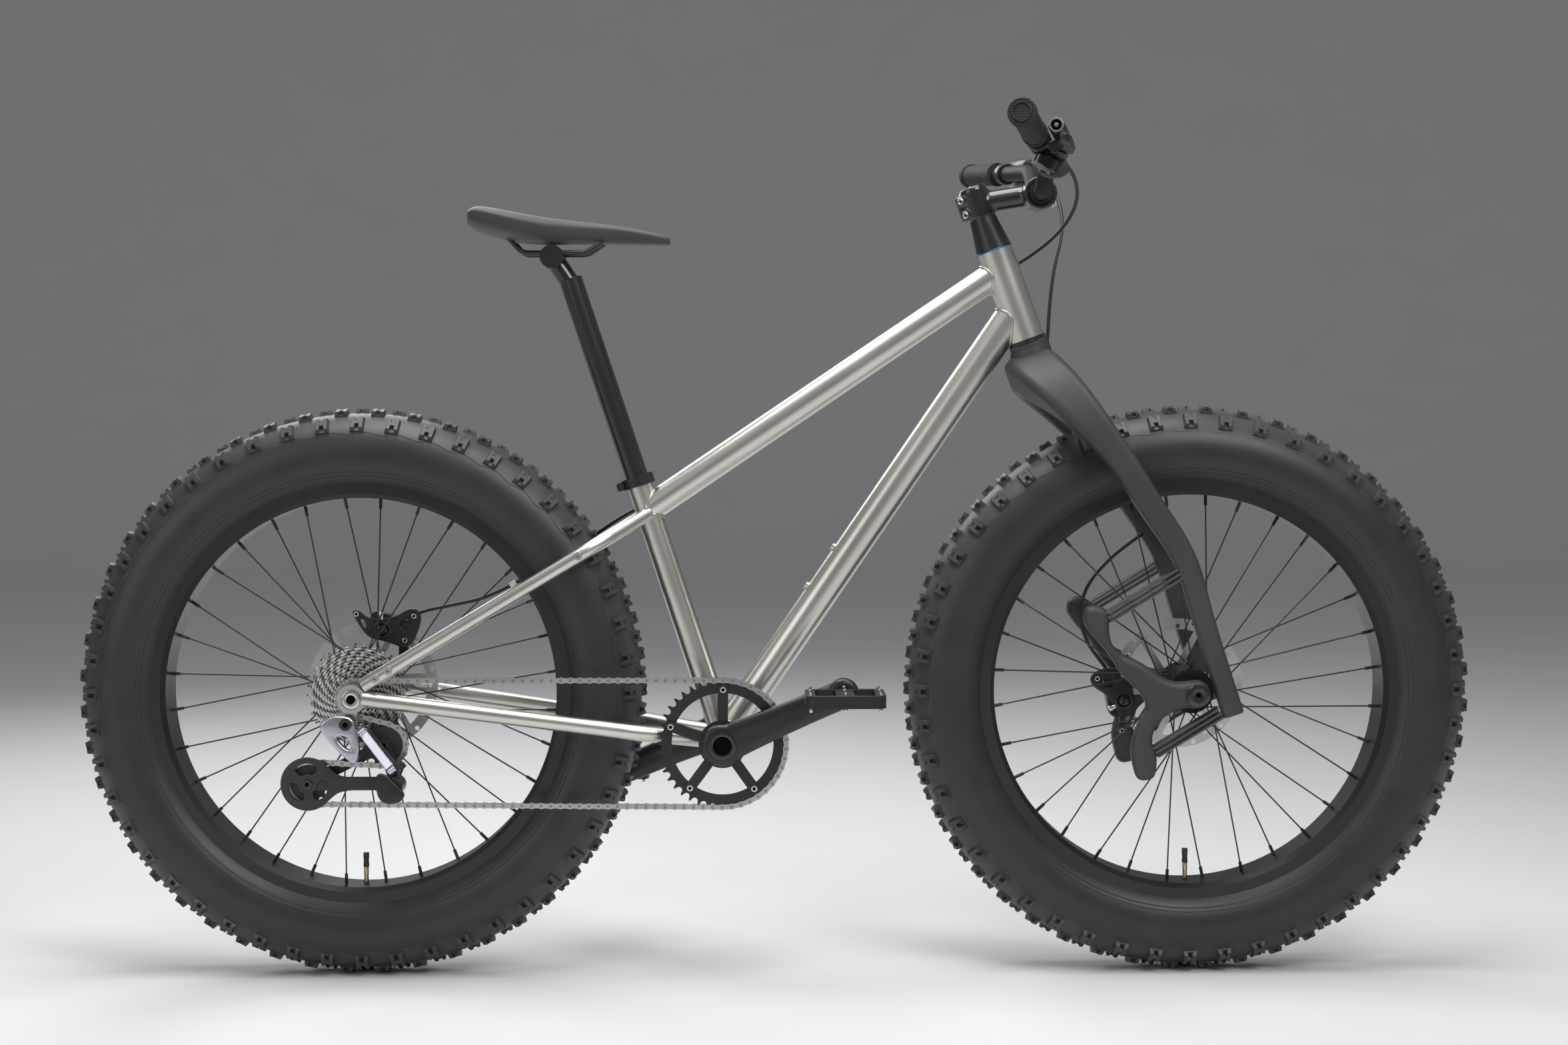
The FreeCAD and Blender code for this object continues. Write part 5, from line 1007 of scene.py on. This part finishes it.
@dataclass
class SoftCasting:
    """A copy of machined or moulded nodes with edges and inner corners eased, as the real piece has.

    swell grows it all round, web fills its inner corners, and spread grows it in the bike's plane.
    """

    sources: tuple[str, ...]
    body: str
    finish: Finish
    slot: str
    voxel: float = 0.0012
    rounds: int = 8
    swell: float = 0.0
    web: float = 0.0
    spread: float = 0.0

    def build(self, nodes: dict[str, bpy.types.Object]) -> None:
        """Make the eased copy and put it in place of the node.

        Args:
            nodes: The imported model's nodes.
        """
        copies = []
        for name in self.sources:
            copy = bpy.data.objects.new(name + "_copy", nodes[name].data.copy())
            bpy.context.scene.collection.objects.link(copy)
            copy.matrix_world = nodes[name].matrix_world.copy()
            Bench.settle(copy)
            copies.append(copy)
        casting = Bench.join(copies, self.sources[0] + "_eased")
        Bench.weld(casting)
        Bench.modify(casting, "REMESH", mode="VOXEL", voxel_size=self.voxel)
        for growth in (self.web, -self.web) if self.web else ():
            Bench.modify(casting, "DISPLACE", strength=growth, mid_level=0.0)
            Bench.modify(casting, "REMESH", mode="VOXEL", voxel_size=self.voxel)
        Bench.modify(casting, "SMOOTH", factor=0.5, iterations=self.rounds)
        if self.swell:
            Bench.modify(casting, "DISPLACE", strength=self.swell, mid_level=0.0)
        if self.spread:
            ways = [vertex.normal.copy() for vertex in casting.data.vertices]
            for vertex, way in zip(casting.data.vertices, ways):
                vertex.co += Vector((way.x, 0.0, way.z)) * self.spread
        Bench.fit(casting, self.body, self.finish, self.slot, 50.0)
        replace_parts(casting, *self.sources)


CASTINGS = (
    SoftCasting(("left_fork_leg", "right_fork_leg"), "steering", *CARBON, 0.0016, 18, swell=0.0003),
    SoftCasting(("stem",), "steering", *GLOSS, 0.0009, 8, swell=0.0003, web=0.006),
    SoftCasting(("crank_arms",), "crank", *BLACK, 0.0012, 14, swell=0.003, spread=0.004),
    SoftCasting(("front_caliper",), "front_link", *BLACK, 0.0010, 6),
    SoftCasting(("rear_caliper",), "frame", *BLACK, 0.0010, 6),
    SoftCasting(("lever_bodies",), "steering", *BLACK, 0.0009, 5),
    SoftCasting(("left_brake_blade",), "left_blade", *BLACK, 0.0007, 6),
    SoftCasting(("right_brake_blade",), "right_blade", *BLACK, 0.0007, 6),
    SoftCasting(("derailleur_outer_link",), "derailleur_outer", *LILAC, 0.0006),
    SoftCasting(("derailleur_lower_knuckle",), "derailleur_knuckle", *BLACK, 0.0007),
    SoftCasting(("derailleur_upper_knuckle",), "frame", *BLACK, 0.0007),
)


@dataclass(frozen=True)
class Stud:
    """A small round head: its foot, the way it points, its size and the radius of its sunk socket."""

    foot: Point
    aim: Point
    radius: float
    height: float
    socket: float = 0.0


@dataclass
class StudSet:
    """Bolt heads, caps or pins of one finish that ride on one body."""

    name: str
    body: str
    finish: Finish
    slot: str
    studs: Sequence[Stud]
    sides: int = 20
    sink: float = 0.7
    floor: float = 0.4

    def build(self) -> None:
        """Make every head and join them, with near-black discs of painted shade on the socket floors."""
        heads = Bench.join([self.head(stud) for stud in self.studs], self.name)
        Bench.fit(heads, self.body, self.finish, self.slot)
        # Painted shade: a near-black disc at each socket's floor.
        shade_discs = [Stud(stud.foot, stud.aim, stud.socket, self.floor * stud.height)
                  for stud in self.studs if stud.socket]
        if shade_discs:
            StudSet(self.name + "_sockets", self.body, Finish.SOCKET_SHADE, "pulley", shade_discs, self.sides).build()

    def head(self, stud: Stud) -> bpy.types.Object:
        """One bevelled head.

        Args:
            stud: Its place and size.
        Returns:
            The head.
        """
        Bench.clear()
        bpy.ops.mesh.primitive_cylinder_add(vertices=self.sides, radius=stud.radius, depth=stud.height,
                                            location=(0.0, 0.0, stud.height / 2))
        head = Bench.named(self.name + "_head")
        Bench.settle(head)
        if stud.socket:
            bpy.ops.object.mode_set(mode="EDIT")
            bpy.ops.mesh.select_mode(type="FACE")
            bpy.ops.mesh.select_all(action="DESELECT")
            bpy.ops.object.mode_set(mode="OBJECT")
            for face in head.data.polygons:
                face.select = face.normal.z > 0.9
            bpy.ops.object.mode_set(mode="EDIT")
            bpy.ops.mesh.inset(thickness=stud.radius - stud.socket)
            drop = (0.0, 0.0, -self.sink * stud.height)
            bpy.ops.mesh.extrude_region_move(TRANSFORM_OT_translate={"value": drop})
            bpy.ops.object.mode_set(mode="OBJECT")
        width = min(stud.radius, stud.height) * 0.15
        if width > 0.0001:
            Bench.modify(head, "BEVEL", width=width, segments=2, limit_method="ANGLE")
        head.rotation_euler = Vector(stud.aim).to_track_quat("Z", "Y").to_euler()
        head.location = stud.foot
        Bench.settle(head)
        return head


@dataclass
class ChainPins:
    """The chain's pin heads, one at each pitch of its way round four toothed wheels.

    A wheel is its place ahead and up in millimetres, its teeth, and the side on which the chain passes it.
    """

    wheels: tuple[Wheel, ...] = (
        (-71.0, 321.0, 42, 1), (-562.0, 385.0, 11, 1), (-522.0, 322.0, 14, -1), (-623.74, 271.0, 14, 1))
    pitch: float = 12.7
    links: int = 134
    steps: int = 60
    faces: tuple[float, float] = (-0.0904, -0.0856)
    head_r: float = 0.0021
    head_rise: float = 0.0006

    def build(self) -> None:
        """Make the heads on both sides of the chain."""
        heads = []
        for ahead, up in self.pins():
            for across, way in zip(self.faces, (-1.0, 1.0)):
                spot = (ahead / 1000, across, up / 1000)
                heads.append(Stud(spot, (0.0, way, 0.0), self.head_r, self.head_rise))
        StudSet("chain_pins", "frame", *GREY, heads, 10).build()

    def radius(self, wheel: Wheel) -> float:
        """The wheel's pitch radius, with its side as a sign."""
        return wheel[3] * self.pitch / (2 * math.sin(math.pi / wheel[2]))

    def pins(self) -> list[Spot]:
        """The pins' places, ahead and up."""
        count = len(self.wheels)
        headings = []
        for index, wheel in enumerate(self.wheels):
            after = self.wheels[(index + 1) % count]
            ahead = after[0] - wheel[0]
            up = after[1] - wheel[1]
            lean = math.asin((self.radius(wheel) - self.radius(after)) / math.hypot(ahead, up))
            headings.append(math.atan2(up, ahead) + lean)
        route = []
        for index, wheel in enumerate(self.wheels):
            start = headings[index - 1]
            turn = wheel[3] * (wheel[3] * (headings[index] - start) % (2 * math.pi))
            route += [self.touch(wheel, start + turn * step / self.steps) for step in range(self.steps + 1)]
        route.append(route[0])
        lengths = [0.0]
        for first, second in zip(route, route[1:]):
            lengths.append(lengths[-1] + math.dist(first, second))
        places = []
        piece = 0
        for link in range(self.links):
            want = lengths[-1] * link / self.links
            while lengths[piece + 1] < want:
                piece += 1
            share = (want - lengths[piece]) / max(lengths[piece + 1] - lengths[piece], 0.000001)
            first, second = route[piece:piece + 2]
            places.append(tuple(a + (b - a) * share for a, b in zip(first, second)))
        return places

    def touch(self, wheel: Wheel, heading: float) -> Spot:
        """Where the chain lies on a wheel while it runs along a heading."""
        radius = self.radius(wheel)
        return wheel[0] + radius * math.sin(heading), wheel[1] - radius * math.cos(heading)


@dataclass
class CutPlate:
    """A thick side plate with rounded edges and openings, from smooth outlines in millimetres."""

    name: str
    body: str
    finish: Finish
    slot: str
    centre: Point
    thick: float
    outlines: Sequence[Sequence[Spot]]
    ease: float = 0.0015

    def build(self) -> bpy.types.Object:
        """Make the plate and return it."""
        curve = Bench.curve(self.name, dimensions="2D", fill_mode="BOTH", bevel_depth=self.ease,
                            extrude=self.thick / 2 - self.ease, bevel_resolution=3, offset=-self.ease,
                            resolution_u=6)
        for outline in self.outlines:
            spline = Bench.line(curve, "NURBS", [(ahead / 1000, up / 1000, 0.0) for ahead, up in outline])
            spline.order_u = 3
            spline.use_cyclic_u = True
        plate = Bench.solid(curve)
        plate.rotation_euler = (math.pi / 2, 0.0, 0.0)
        plate.location = self.centre
        Bench.settle(plate)
        Bench.weld(plate)
        Bench.fit(plate, self.body, self.finish, self.slot)
        return plate


@dataclass
class FrameDress:
    """The finishes of the nodes that keep their own shape."""

    nodes: dict[str, bpy.types.Object]
    finishes: dict[Finish, tuple[str, ...]] = field(default_factory=lambda: {
        Finish.TITANIUM: ("head_tube", "top_tube", "down_tube", "seat_tube", "bracket_shell", "chainstays",
                          "seatstays", "dropouts"),
        Finish.SATIN_BLACK: ("front_axle", "seat_collar", "bracket_cups", "front_hub", "rear_hub",
                             "chainring_spider", "chainring", "front_rim", "rear_rim", "front_spokes",
                             "rear_spokes", "cone_spacer", "headset", "right_pedal", "left_pedal",
                             "saddle_rails", "crank_spindle"),
        Finish.GLOSS_BLACK: ("seat_post",),
        Finish.CARBON: ("fork_steerer",),
        Finish.STEEL: ("chain", "freehub_body", "pedal_axles", "rear_axle"),
        Finish.COGS: ("cassette",),
        Finish.MATTE_BLACK: ("handlebar",),
        Finish.ROTOR: ("front_rotor", "rear_rotor"),
        Finish.GRIP: ("grips",),
        Finish.GREY_ALLOY: ("derailleur_inner_link", "shift_paddle"),
        Finish.NYLON: ("guide_pulley", "tension_pulley", "derailleur_cage"),
    })

    def build(self) -> None:
        """Give each of those nodes its finish."""
        for finish, names in self.finishes.items():
            for name in names:
                Bench.dress(self.nodes[name], finish.material())
        LOG.info("%d nodes dressed", sum(len(names) for names in self.finishes.values()))


@dataclass
class Studio:
    """A pale floor, soft lamps and a camera at the photograph's view."""

    eye: Point = (-0.01179, -3.42337, 0.73713)
    pitch: float = -0.03618
    yaw: float = -0.00719
    roll: float = 0.00391
    lens: float = 57.535
    floor_size: float = 44.0
    wall_height: float = 14.0
    wall_shift: float = -8.0
    wall_bend: float = 5.0

    def build(self) -> None:
        """Set the stage."""
        self.camera()
        self.floor()
        self.lamp("key_lamp", (1.4, -2.2, 2.9), (0.1, 0.0, 0.5), 50.0, 1.5)
        self.lamp("fill_lamp", (-2.8, -2.6, 1.6), (0.0, 0.0, 0.5), 20.0, 2.0)
        self.lamp("top_lamp", (-0.2, -0.2, 2.8), (0.0, 0.0, 0.4), 66.0, 1.8)
        self.lamp("rear_lamp", (-1.2, 2.4, 2.4), (0.0, 0.0, 0.5), 36.0, 1.6)
        world = bpy.data.worlds.new("studio")
        bpy.context.scene.world = world
        world.use_nodes = True
        sky = world.node_tree.nodes["Background"]
        sky.inputs["Color"].default_value = (0.86, 0.87, 0.89, 1.0)
        sky.inputs["Strength"].default_value = 0.24
        bpy.context.scene.view_settings.view_transform = "Standard"

    def camera(self) -> None:
        """Place the camera."""
        lens = bpy.data.cameras.new("camera")
        lens.lens = self.lens
        lens.sensor_width = 36.0
        lens.sensor_fit = "HORIZONTAL"
        camera = bpy.data.objects.new("camera", lens)
        bpy.context.scene.collection.objects.link(camera)
        turn = (Matrix.Rotation(self.yaw, 4, "Z") @ Matrix.Rotation(self.pitch, 4, "X")
                @ Matrix.Rotation(self.roll, 4, "Y"))
        camera.matrix_world = (Matrix.Translation(self.eye) @ turn @ Matrix.Rotation(math.pi / 2, 4, "X"))
        bpy.context.scene.camera = camera

    def floor(self) -> None:
        """A wide pale floor that rises far behind."""
        Bench.clear()
        bpy.ops.mesh.primitive_plane_add(size=self.floor_size, location=(0.0, 0.0, -0.0005))
        floor = Bench.named("floor")
        Bench.settle(floor)
        bpy.ops.object.mode_set(mode="EDIT")
        bpy.ops.mesh.select_all(action="DESELECT")
        bpy.ops.object.mode_set(mode="OBJECT")
        for edge in floor.data.edges:
            edge.select = all(floor.data.vertices[index].co.y > 0.0 for index in edge.vertices)
        bpy.ops.object.mode_set(mode="EDIT")
        bpy.ops.mesh.select_mode(type="EDGE")
        bpy.ops.transform.translate(value=(0.0, self.wall_shift, 0.0))
        bpy.ops.mesh.extrude_region_move(TRANSFORM_OT_translate={"value": (0.0, 0.0, self.wall_height)})
        bpy.ops.mesh.select_all(action="SELECT")
        bpy.ops.object.mode_set(mode="OBJECT")
        Bench.modify(floor, "BEVEL", width=self.wall_bend, segments=14, limit_method="ANGLE")
        Bench.smooth(floor, 60.0)
        graph = Graph("pale_floor")
        tone = graph.noise(3.0, 2.0)
        graph.set(Base_Color=graph.blend(tone, (0.70, 0.70, 0.71), (0.74, 0.74, 0.75)), Roughness=0.75)
        Bench.dress(floor, graph.material)

    def lamp(self, name: str, place: Point, aim: Point, power: float, size: float) -> None:
        """One soft square lamp.

        Args:
            name: Its name.
            place: Where it hangs.
            aim: What it points at.
            power: Its power in watts.
            size: Its side in metres.
        """
        light = bpy.data.lights.new(name, "AREA")
        light.energy = power
        light.size = size
        lamp = bpy.data.objects.new(name, light)
        lamp.location = place
        lamp.rotation_euler = (Vector(aim) - Vector(place)).to_track_quat("-Z", "Y").to_euler()
        bpy.context.scene.collection.objects.link(lamp)


def hoses() -> None:
    """The front and rear brake hoses, each along its route."""
    left_port = (0.37182, 0.16985, 1.09299)

    def moved(origin: Point, points: Sequence[Point]) -> list[Point]:
        """Shift millimetre points to a place in metres."""
        return [tuple(Vector(origin) + Vector(point) / 1000) for point in points]

    upper = [left_port] + moved(HEAD_BASE, [(37, 130, 226), (56, 92, 200), (58, 64, 152), (43, 50, 100),
                                            (36, 42, 46), (33, 38, 0), (29, 37, -40)])
    lower = moved(FRONT_AXLE, [(-41, 84, 211), (-62, 72, 198), (-98, 66, 171), (-128, 66, 135),
                               (-138, 68, 93), (-126, 68, 55), (-106, 68, 29), (-92, 68.5, 10)])
    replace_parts(SmoothHose("front_hose_upper", upper, "steering").build(), "front_hose")
    SmoothHose("front_hose_lower", lower, "steering", "front_link", lower[1], lower[6]).build()
    right_port = (left_port[0], -left_port[1], left_port[2])
    loop = [right_port] + moved(HEAD_BASE, [(37, -130, 226), (58, -90, 206), (64, -44, 178), (48, 2, 147),
                                            (14, 36, 118), (-31, 48, 92), (-77, 37, 64)])
    along = [(0.21860, 0.0218, 0.89436), (0.17, 0.0218, 0.86180), (-0.10, 0.0218, 0.68066),
             (-0.14406, 0.0218, 0.65110), (-0.200, 0.046, 0.628), (-0.25401, 0.0772, 0.59207),
             (-0.30, 0.0816, 0.56463), (-0.3953, 0.0908, 0.50782)]
    tail = moved(REAR_AXLE, [(108, 84, 111), (62, 80, 102), (48, 79, 92)])
    line = SmoothHose("rear_hose_line", loop + along + tail, "steering", "frame", loop[1], loop[7]).build()
    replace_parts(line, "rear_hose")


def fasteners() -> None:
    """Bolt heads, grip ends, axle ends, fluid tanks, the shifter's pod and the pedals' pins."""
    ahead = (0.9403, 0.0, 0.3404)
    bar = Vector((0.36192, 0.0, 1.0592))
    rise = Vector(HEAD_WAY)
    lug_places = ((0.26067, 1.02894), (0.25387, 1.04774))
    lug = [Stud((x, -0.0102, z), RIGHT, 0.0042, 0.0044, 0.002) for x, z in lug_places]
    corners = [bar + rise * (0.019 * up) + Vector((0.0108, 0.016 * side, 0.0039))
               for up in (-1, 1) for side in (-1, 1)]
    face = [Stud(corner, ahead, 0.0036, 0.0042, 0.0018) for corner in corners]
    StudSet("stem_bolts", "steering", *BRIGHT, lug + face).build()
    end = Vector((0.29992, 0.380, 1.1222))
    grip = Vector((-0.22, 0.97, 0.08)).normalized()
    flares = []
    plugs = []
    for side in (-1, 1):
        turn = Vector((1.0, side, 1.0))
        flares.append(Stud((end - grip * 0.010) * turn, grip * turn, 0.0182, 0.0135, 0.0136))
        plugs.append(Stud((end + grip * 0.0005) * turn, grip * turn, 0.0128, 0.0042, 0.0104))
    StudSet("grip_ends", "steering", Finish.GRIP, "grip", flares, 32).build()
    StudSet("grip_plugs", "steering", *BLACK, plugs, 32).build()
    ring = [Stud((REAR_AXLE[0], -0.1122, REAR_AXLE[2]), RIGHT, 0.0118, 0.0032, 0.0062)]
    StudSet("rear_axle_ring", "frame", *BRIGHT, ring, 32).build()
    knob = [Stud((FRONT_AXLE[0], -0.1045, FRONT_AXLE[2]), RIGHT, 0.0150, 0.0075, 0.0048)]
    StudSet("front_axle_knob", "front_link", *GLOSS, knob, 32).build()
    bolts = []
    circle = 0.073
    for index in range(1, 5):
        angle = 2 * math.pi * index / 5 + 0.3
        spot = (BRACKET[0] + circle * math.cos(angle), -0.0929, BRACKET[2] + circle * math.sin(angle))
        bolts.append(Stud(spot, RIGHT, 0.0042, 0.0018, 0.0022))
    StudSet("ring_bolts", "crank", *BRIGHT, bolts).build()
    eye = [Stud((BRACKET[0], -0.1105, BRACKET[2]), RIGHT, 0.0185, 0.0035, 0.0125)]
    StudSet("crank_eye", "crank", *GLOSS, eye, 40).build()
    tanks = []
    caps = []
    root = Vector((0.370, 0.190, 1.1175))
    for side in (-1, 1):
        turn = Vector((1.0, side, 1.0))
        tanks.append(Stud(root * turn, grip * turn, 0.0105, 0.060))
        caps.append(Stud((root + grip * 0.0595) * turn, grip * turn, 0.0096, 0.0035, 0.0070))
        caps.append(Stud((root + grip * 0.0595) * turn, grip * turn, 0.0028, 0.0032))
    StudSet("fluid_tanks", "steering", *BLACK, tanks, 32).build()
    StudSet("fluid_caps", "steering", *GREY, caps, 32).build()
    pod = [(-22, 8), (-8, 17), (14, 11), (27, -2), (25, -16), (4, -20), (-17, -10)]
    CutPlate("shift_pod", "steering", *NYLON, (0.356, -0.1635, 1.083), 0.024, [pod], 0.003).build()
    for body, centre, side in (("right_pedal", Vector((0.09009, 0.0, 0.38938)), -1),
                               ("left_pedal", Vector((-0.23209, 0.0, 0.25262)), 1)):
        pins = [Stud(centre + Vector((x, y * side, 0.0079 * way)), (0.0, 0.0, way), 0.0023, 0.0050)
                for x in (-0.045, 0.0, 0.045) for y in (0.130, 0.172, 0.214) for way in (-1, 1)]
        StudSet(body + "_pins", body, *BRIGHT, pins, 12).build()


def derailleur_covers() -> None:
    """The derailleur's outer covers, its bolts and the cage's outer plate."""
    ahead, _, up = REAR_AXLE
    tension = Vector((-61.7, -114.0))
    shell = [(-42, -33), (-33, -24), (-14, -20), (4, -24), (8, -40), (13, -64), (7, -88), (-8, -77),
             (-24, -60), (-38, -44)]
    window = [(-21, -47), (-3, -48), (2, -69), (-11, -61)]
    CutPlate("derailleur_shell", "frame", *LILAC, (ahead, -0.1165, up), 0.012,
             [shell, window], 0.003).build()
    foot = [(36, -95), (48, -95), (57, -104), (67, -114), (75, -123), (68, -133), (53, -136), (40, -131),
            (35, -112)]
    CutPlate("derailleur_foot", "derailleur_knuckle", *BLACK,
             (ahead, -0.1385, up), 0.007, [foot], 0.002).build()
    outline = [(50, -104), (64, -104), (69, -114), (64, -124), (50, -124), (8, -122), (-18, -124)]

    def round_pulley(degrees: float, radius: float) -> Spot:
        """A spot round the tension pulley."""
        angle = math.radians(degrees)
        return tension.x + radius * math.cos(angle), tension.y + radius * math.sin(angle)

    outline += [round_pulley(degrees, 37) for degrees in range(-30, -331, -30)]
    outline += [(-18, -104), (8, -106)]
    corners = ((0, 13), (0, 27), (40, 30), (80, 27), (80, 13), (40, 14))
    windows = [[round_pulley(start + turn, radius) for turn, radius in corners] for start in (55, 175, 295)]
    CutPlate("cage_plate", "derailleur_cage", *NYLON, (ahead, -0.0975, up), 0.003,
             [outline] + windows, 0.001).build()
    hanger = [Stud((-0.568, -0.1220, 0.353), RIGHT, 0.0085, 0.0045, 0.0036)]
    StudSet("hanger_bolt_head", "frame", *GLOSS, hanger, 28).build()
    pulleys = [Stud((-0.522, -0.0959, 0.322), RIGHT, 0.0062, 0.0032, 0.0026),
               Stud((-0.6237, -0.0988, 0.271), RIGHT, 0.0068, 0.0030, 0.0028)]
    StudSet("pulley_bolts", "derailleur_cage", *GLOSS, pulleys, 24).build()


def spring_links() -> None:
    """The two webbed links that carry the front axle."""
    outline = [(-152, 104), (-149, 117), (-135, 121), (-116, 112), (-118, 84), (-113, 65), (-98, 53),
               (-80, 46), (-65, 37), (-50, 25), (-30, 16), (-10, 18), (8, 19), (19, 6), (17, -12), (2, -20),
               (-14, -17), (-29, -22), (-47, -32), (-57, -46), (-61, -64), (-53, -78), (-54, -104),
               (-59, -114), (-80, -116), (-86, -93), (-89, -77), (-86, -58), (-78, -36), (-67, -18),
               (-71, -3), (-87, 13), (-103, 29), (-119, 57), (-140, 80), (-151, 95)]
    for side, label in ((1, "left"), (-1, "right")):
        centre = (FRONT_AXLE[0], 0.092 * side, FRONT_AXLE[2])
        plate = CutPlate(label + "_spring_link", "front_link", *CARBON, centre, 0.026, [outline],
                         0.0095).build()
        if side > 0:
            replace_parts(plate, "spring_links")


def caliper_details() -> None:
    """An inner face with openings, a piston cap and bolts on each caliper."""
    outline = [(-28, 105), (-18, 108), (-4, 94), (33, 96), (52, 109), (67, 107), (71, 89), (57, 58),
               (44, 53), (19, 63), (-4, 67), (-18, 87)]
    openings = [[(-14, 96), (-6, 88), (-8, 80), (-15, 90)], [(38, 88), (52, 96), (56, 86), (46, 78)]]
    for name, body, place, face, degrees in (("rear", "frame", REAR_AXLE, 0.0603, 0.0),
                                             ("front", "front_link", FRONT_AXLE, 0.0433, -117.5)):
        axle = Vector(place)
        wide = math.cos(math.radians(degrees))
        high = math.sin(math.radians(degrees))
        loops = [[(x * wide + z * high, z * wide - x * high) for x, z in loop]
                 for loop in [outline] + openings]
        CutPlate(name + "_caliper_face", body, *BLACK,
                 (axle.x, face + 0.00275, axle.z), 0.0055, loops, 0.0018).build()

        def spot(ahead: float, up: float, across: float) -> Vector:
            """A place on the caliper, in millimetres from its axle."""
            turned = Vector((ahead * wide + up * high, 0.0, up * wide - ahead * high)) / 1000
            return axle + turned + Vector((0.0, across, 0.0))

        caps = [Stud(spot(16, 79, face + 0.0003), RIGHT, 0.0125, 0.0016, 0.0090),
                Stud(spot(16, 79, face + 0.0003), RIGHT, 0.0070, 0.0018)]
        StudSet(name + "_piston_cap", body, *GLOSS, caps, 32).build()
        bolts = [Stud(spot(x, z, face + 0.0003), RIGHT, 0.0036, 0.0018, 0.0019)
                 for x, z in ((-20, 101), (60, 98), (47, 64))]
        outward = spot(14, 94, 0.0) - spot(14, 93, 0.0)
        bolts.append(Stud(spot(14, 93, face + 0.003), outward, 0.0040, 0.0100))
        StudSet(name + "_caliper_bolts", body, *BRIGHT, bolts).build()


def welds() -> None:
    """The beads at the frame's main joints."""
    seat_top = (-0.187189, 0.0, 0.67439)
    top_low = (-0.17313, 0.0, 0.63164)
    top_high = (0.31046, 0.0, 0.95603)
    down_high = (0.32986, 0.0, 0.90243)
    shell = ((BRACKET[0], -0.05, BRACKET[2]), (BRACKET[0], 0.05, BRACKET[2]))
    joints = [
        WeldBead("weld_top_seat", top_high, top_low, 0.019, BRACKET, seat_top, 0.0175),
        WeldBead("weld_top_head", top_low, top_high, 0.019, HEAD_BASE, HEAD_TOP, 0.025),
        WeldBead("weld_down_head", BRACKET, down_high, 0.022, HEAD_BASE, HEAD_TOP, 0.025),
        WeldBead("weld_down_shell", down_high, BRACKET, 0.022, *shell, 0.023),
        WeldBead("weld_seat_shell", seat_top, BRACKET, 0.0175, *shell, 0.023),
    ]
    for joint in joints:
        joint.build()


def springs() -> None:
    """The four packs of leaves."""
    packs = []
    for side, label in ((1, "left"), (-1, "right")):
        y = 0.092 * side
        packs.append(LeafPack(label + "_upper_leaves", (0.5385, y, 0.5462), (0.4420, y, 0.4882)).build())
        packs.append(LeafPack(label + "_lower_leaves", (0.5938, y, 0.3603), (0.5058, y, 0.3075)).build())
    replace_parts(packs[0], "leaf_springs")


def main() -> None:
    """Load the bicycle, dress it and set the stage."""
    logging.basicConfig(level=logging.INFO, format="%(message)s")
    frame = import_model()
    Studio().build()
    FrameDress(frame["nodes"]).build()
    KnobblyTyre("rear", REAR_AXLE).build()
    KnobblyTyre("front", FRONT_AXLE).build()
    SaddleCushion().build()
    hoses()
    springs()
    for casting in CASTINGS:
        casting.build(frame["nodes"])
    welds()
    Trim().build()
    fasteners()
    ChainPins().build()
    derailleur_covers()
    spring_links()
    caliper_details()


if __name__ == "__main__":
    main()
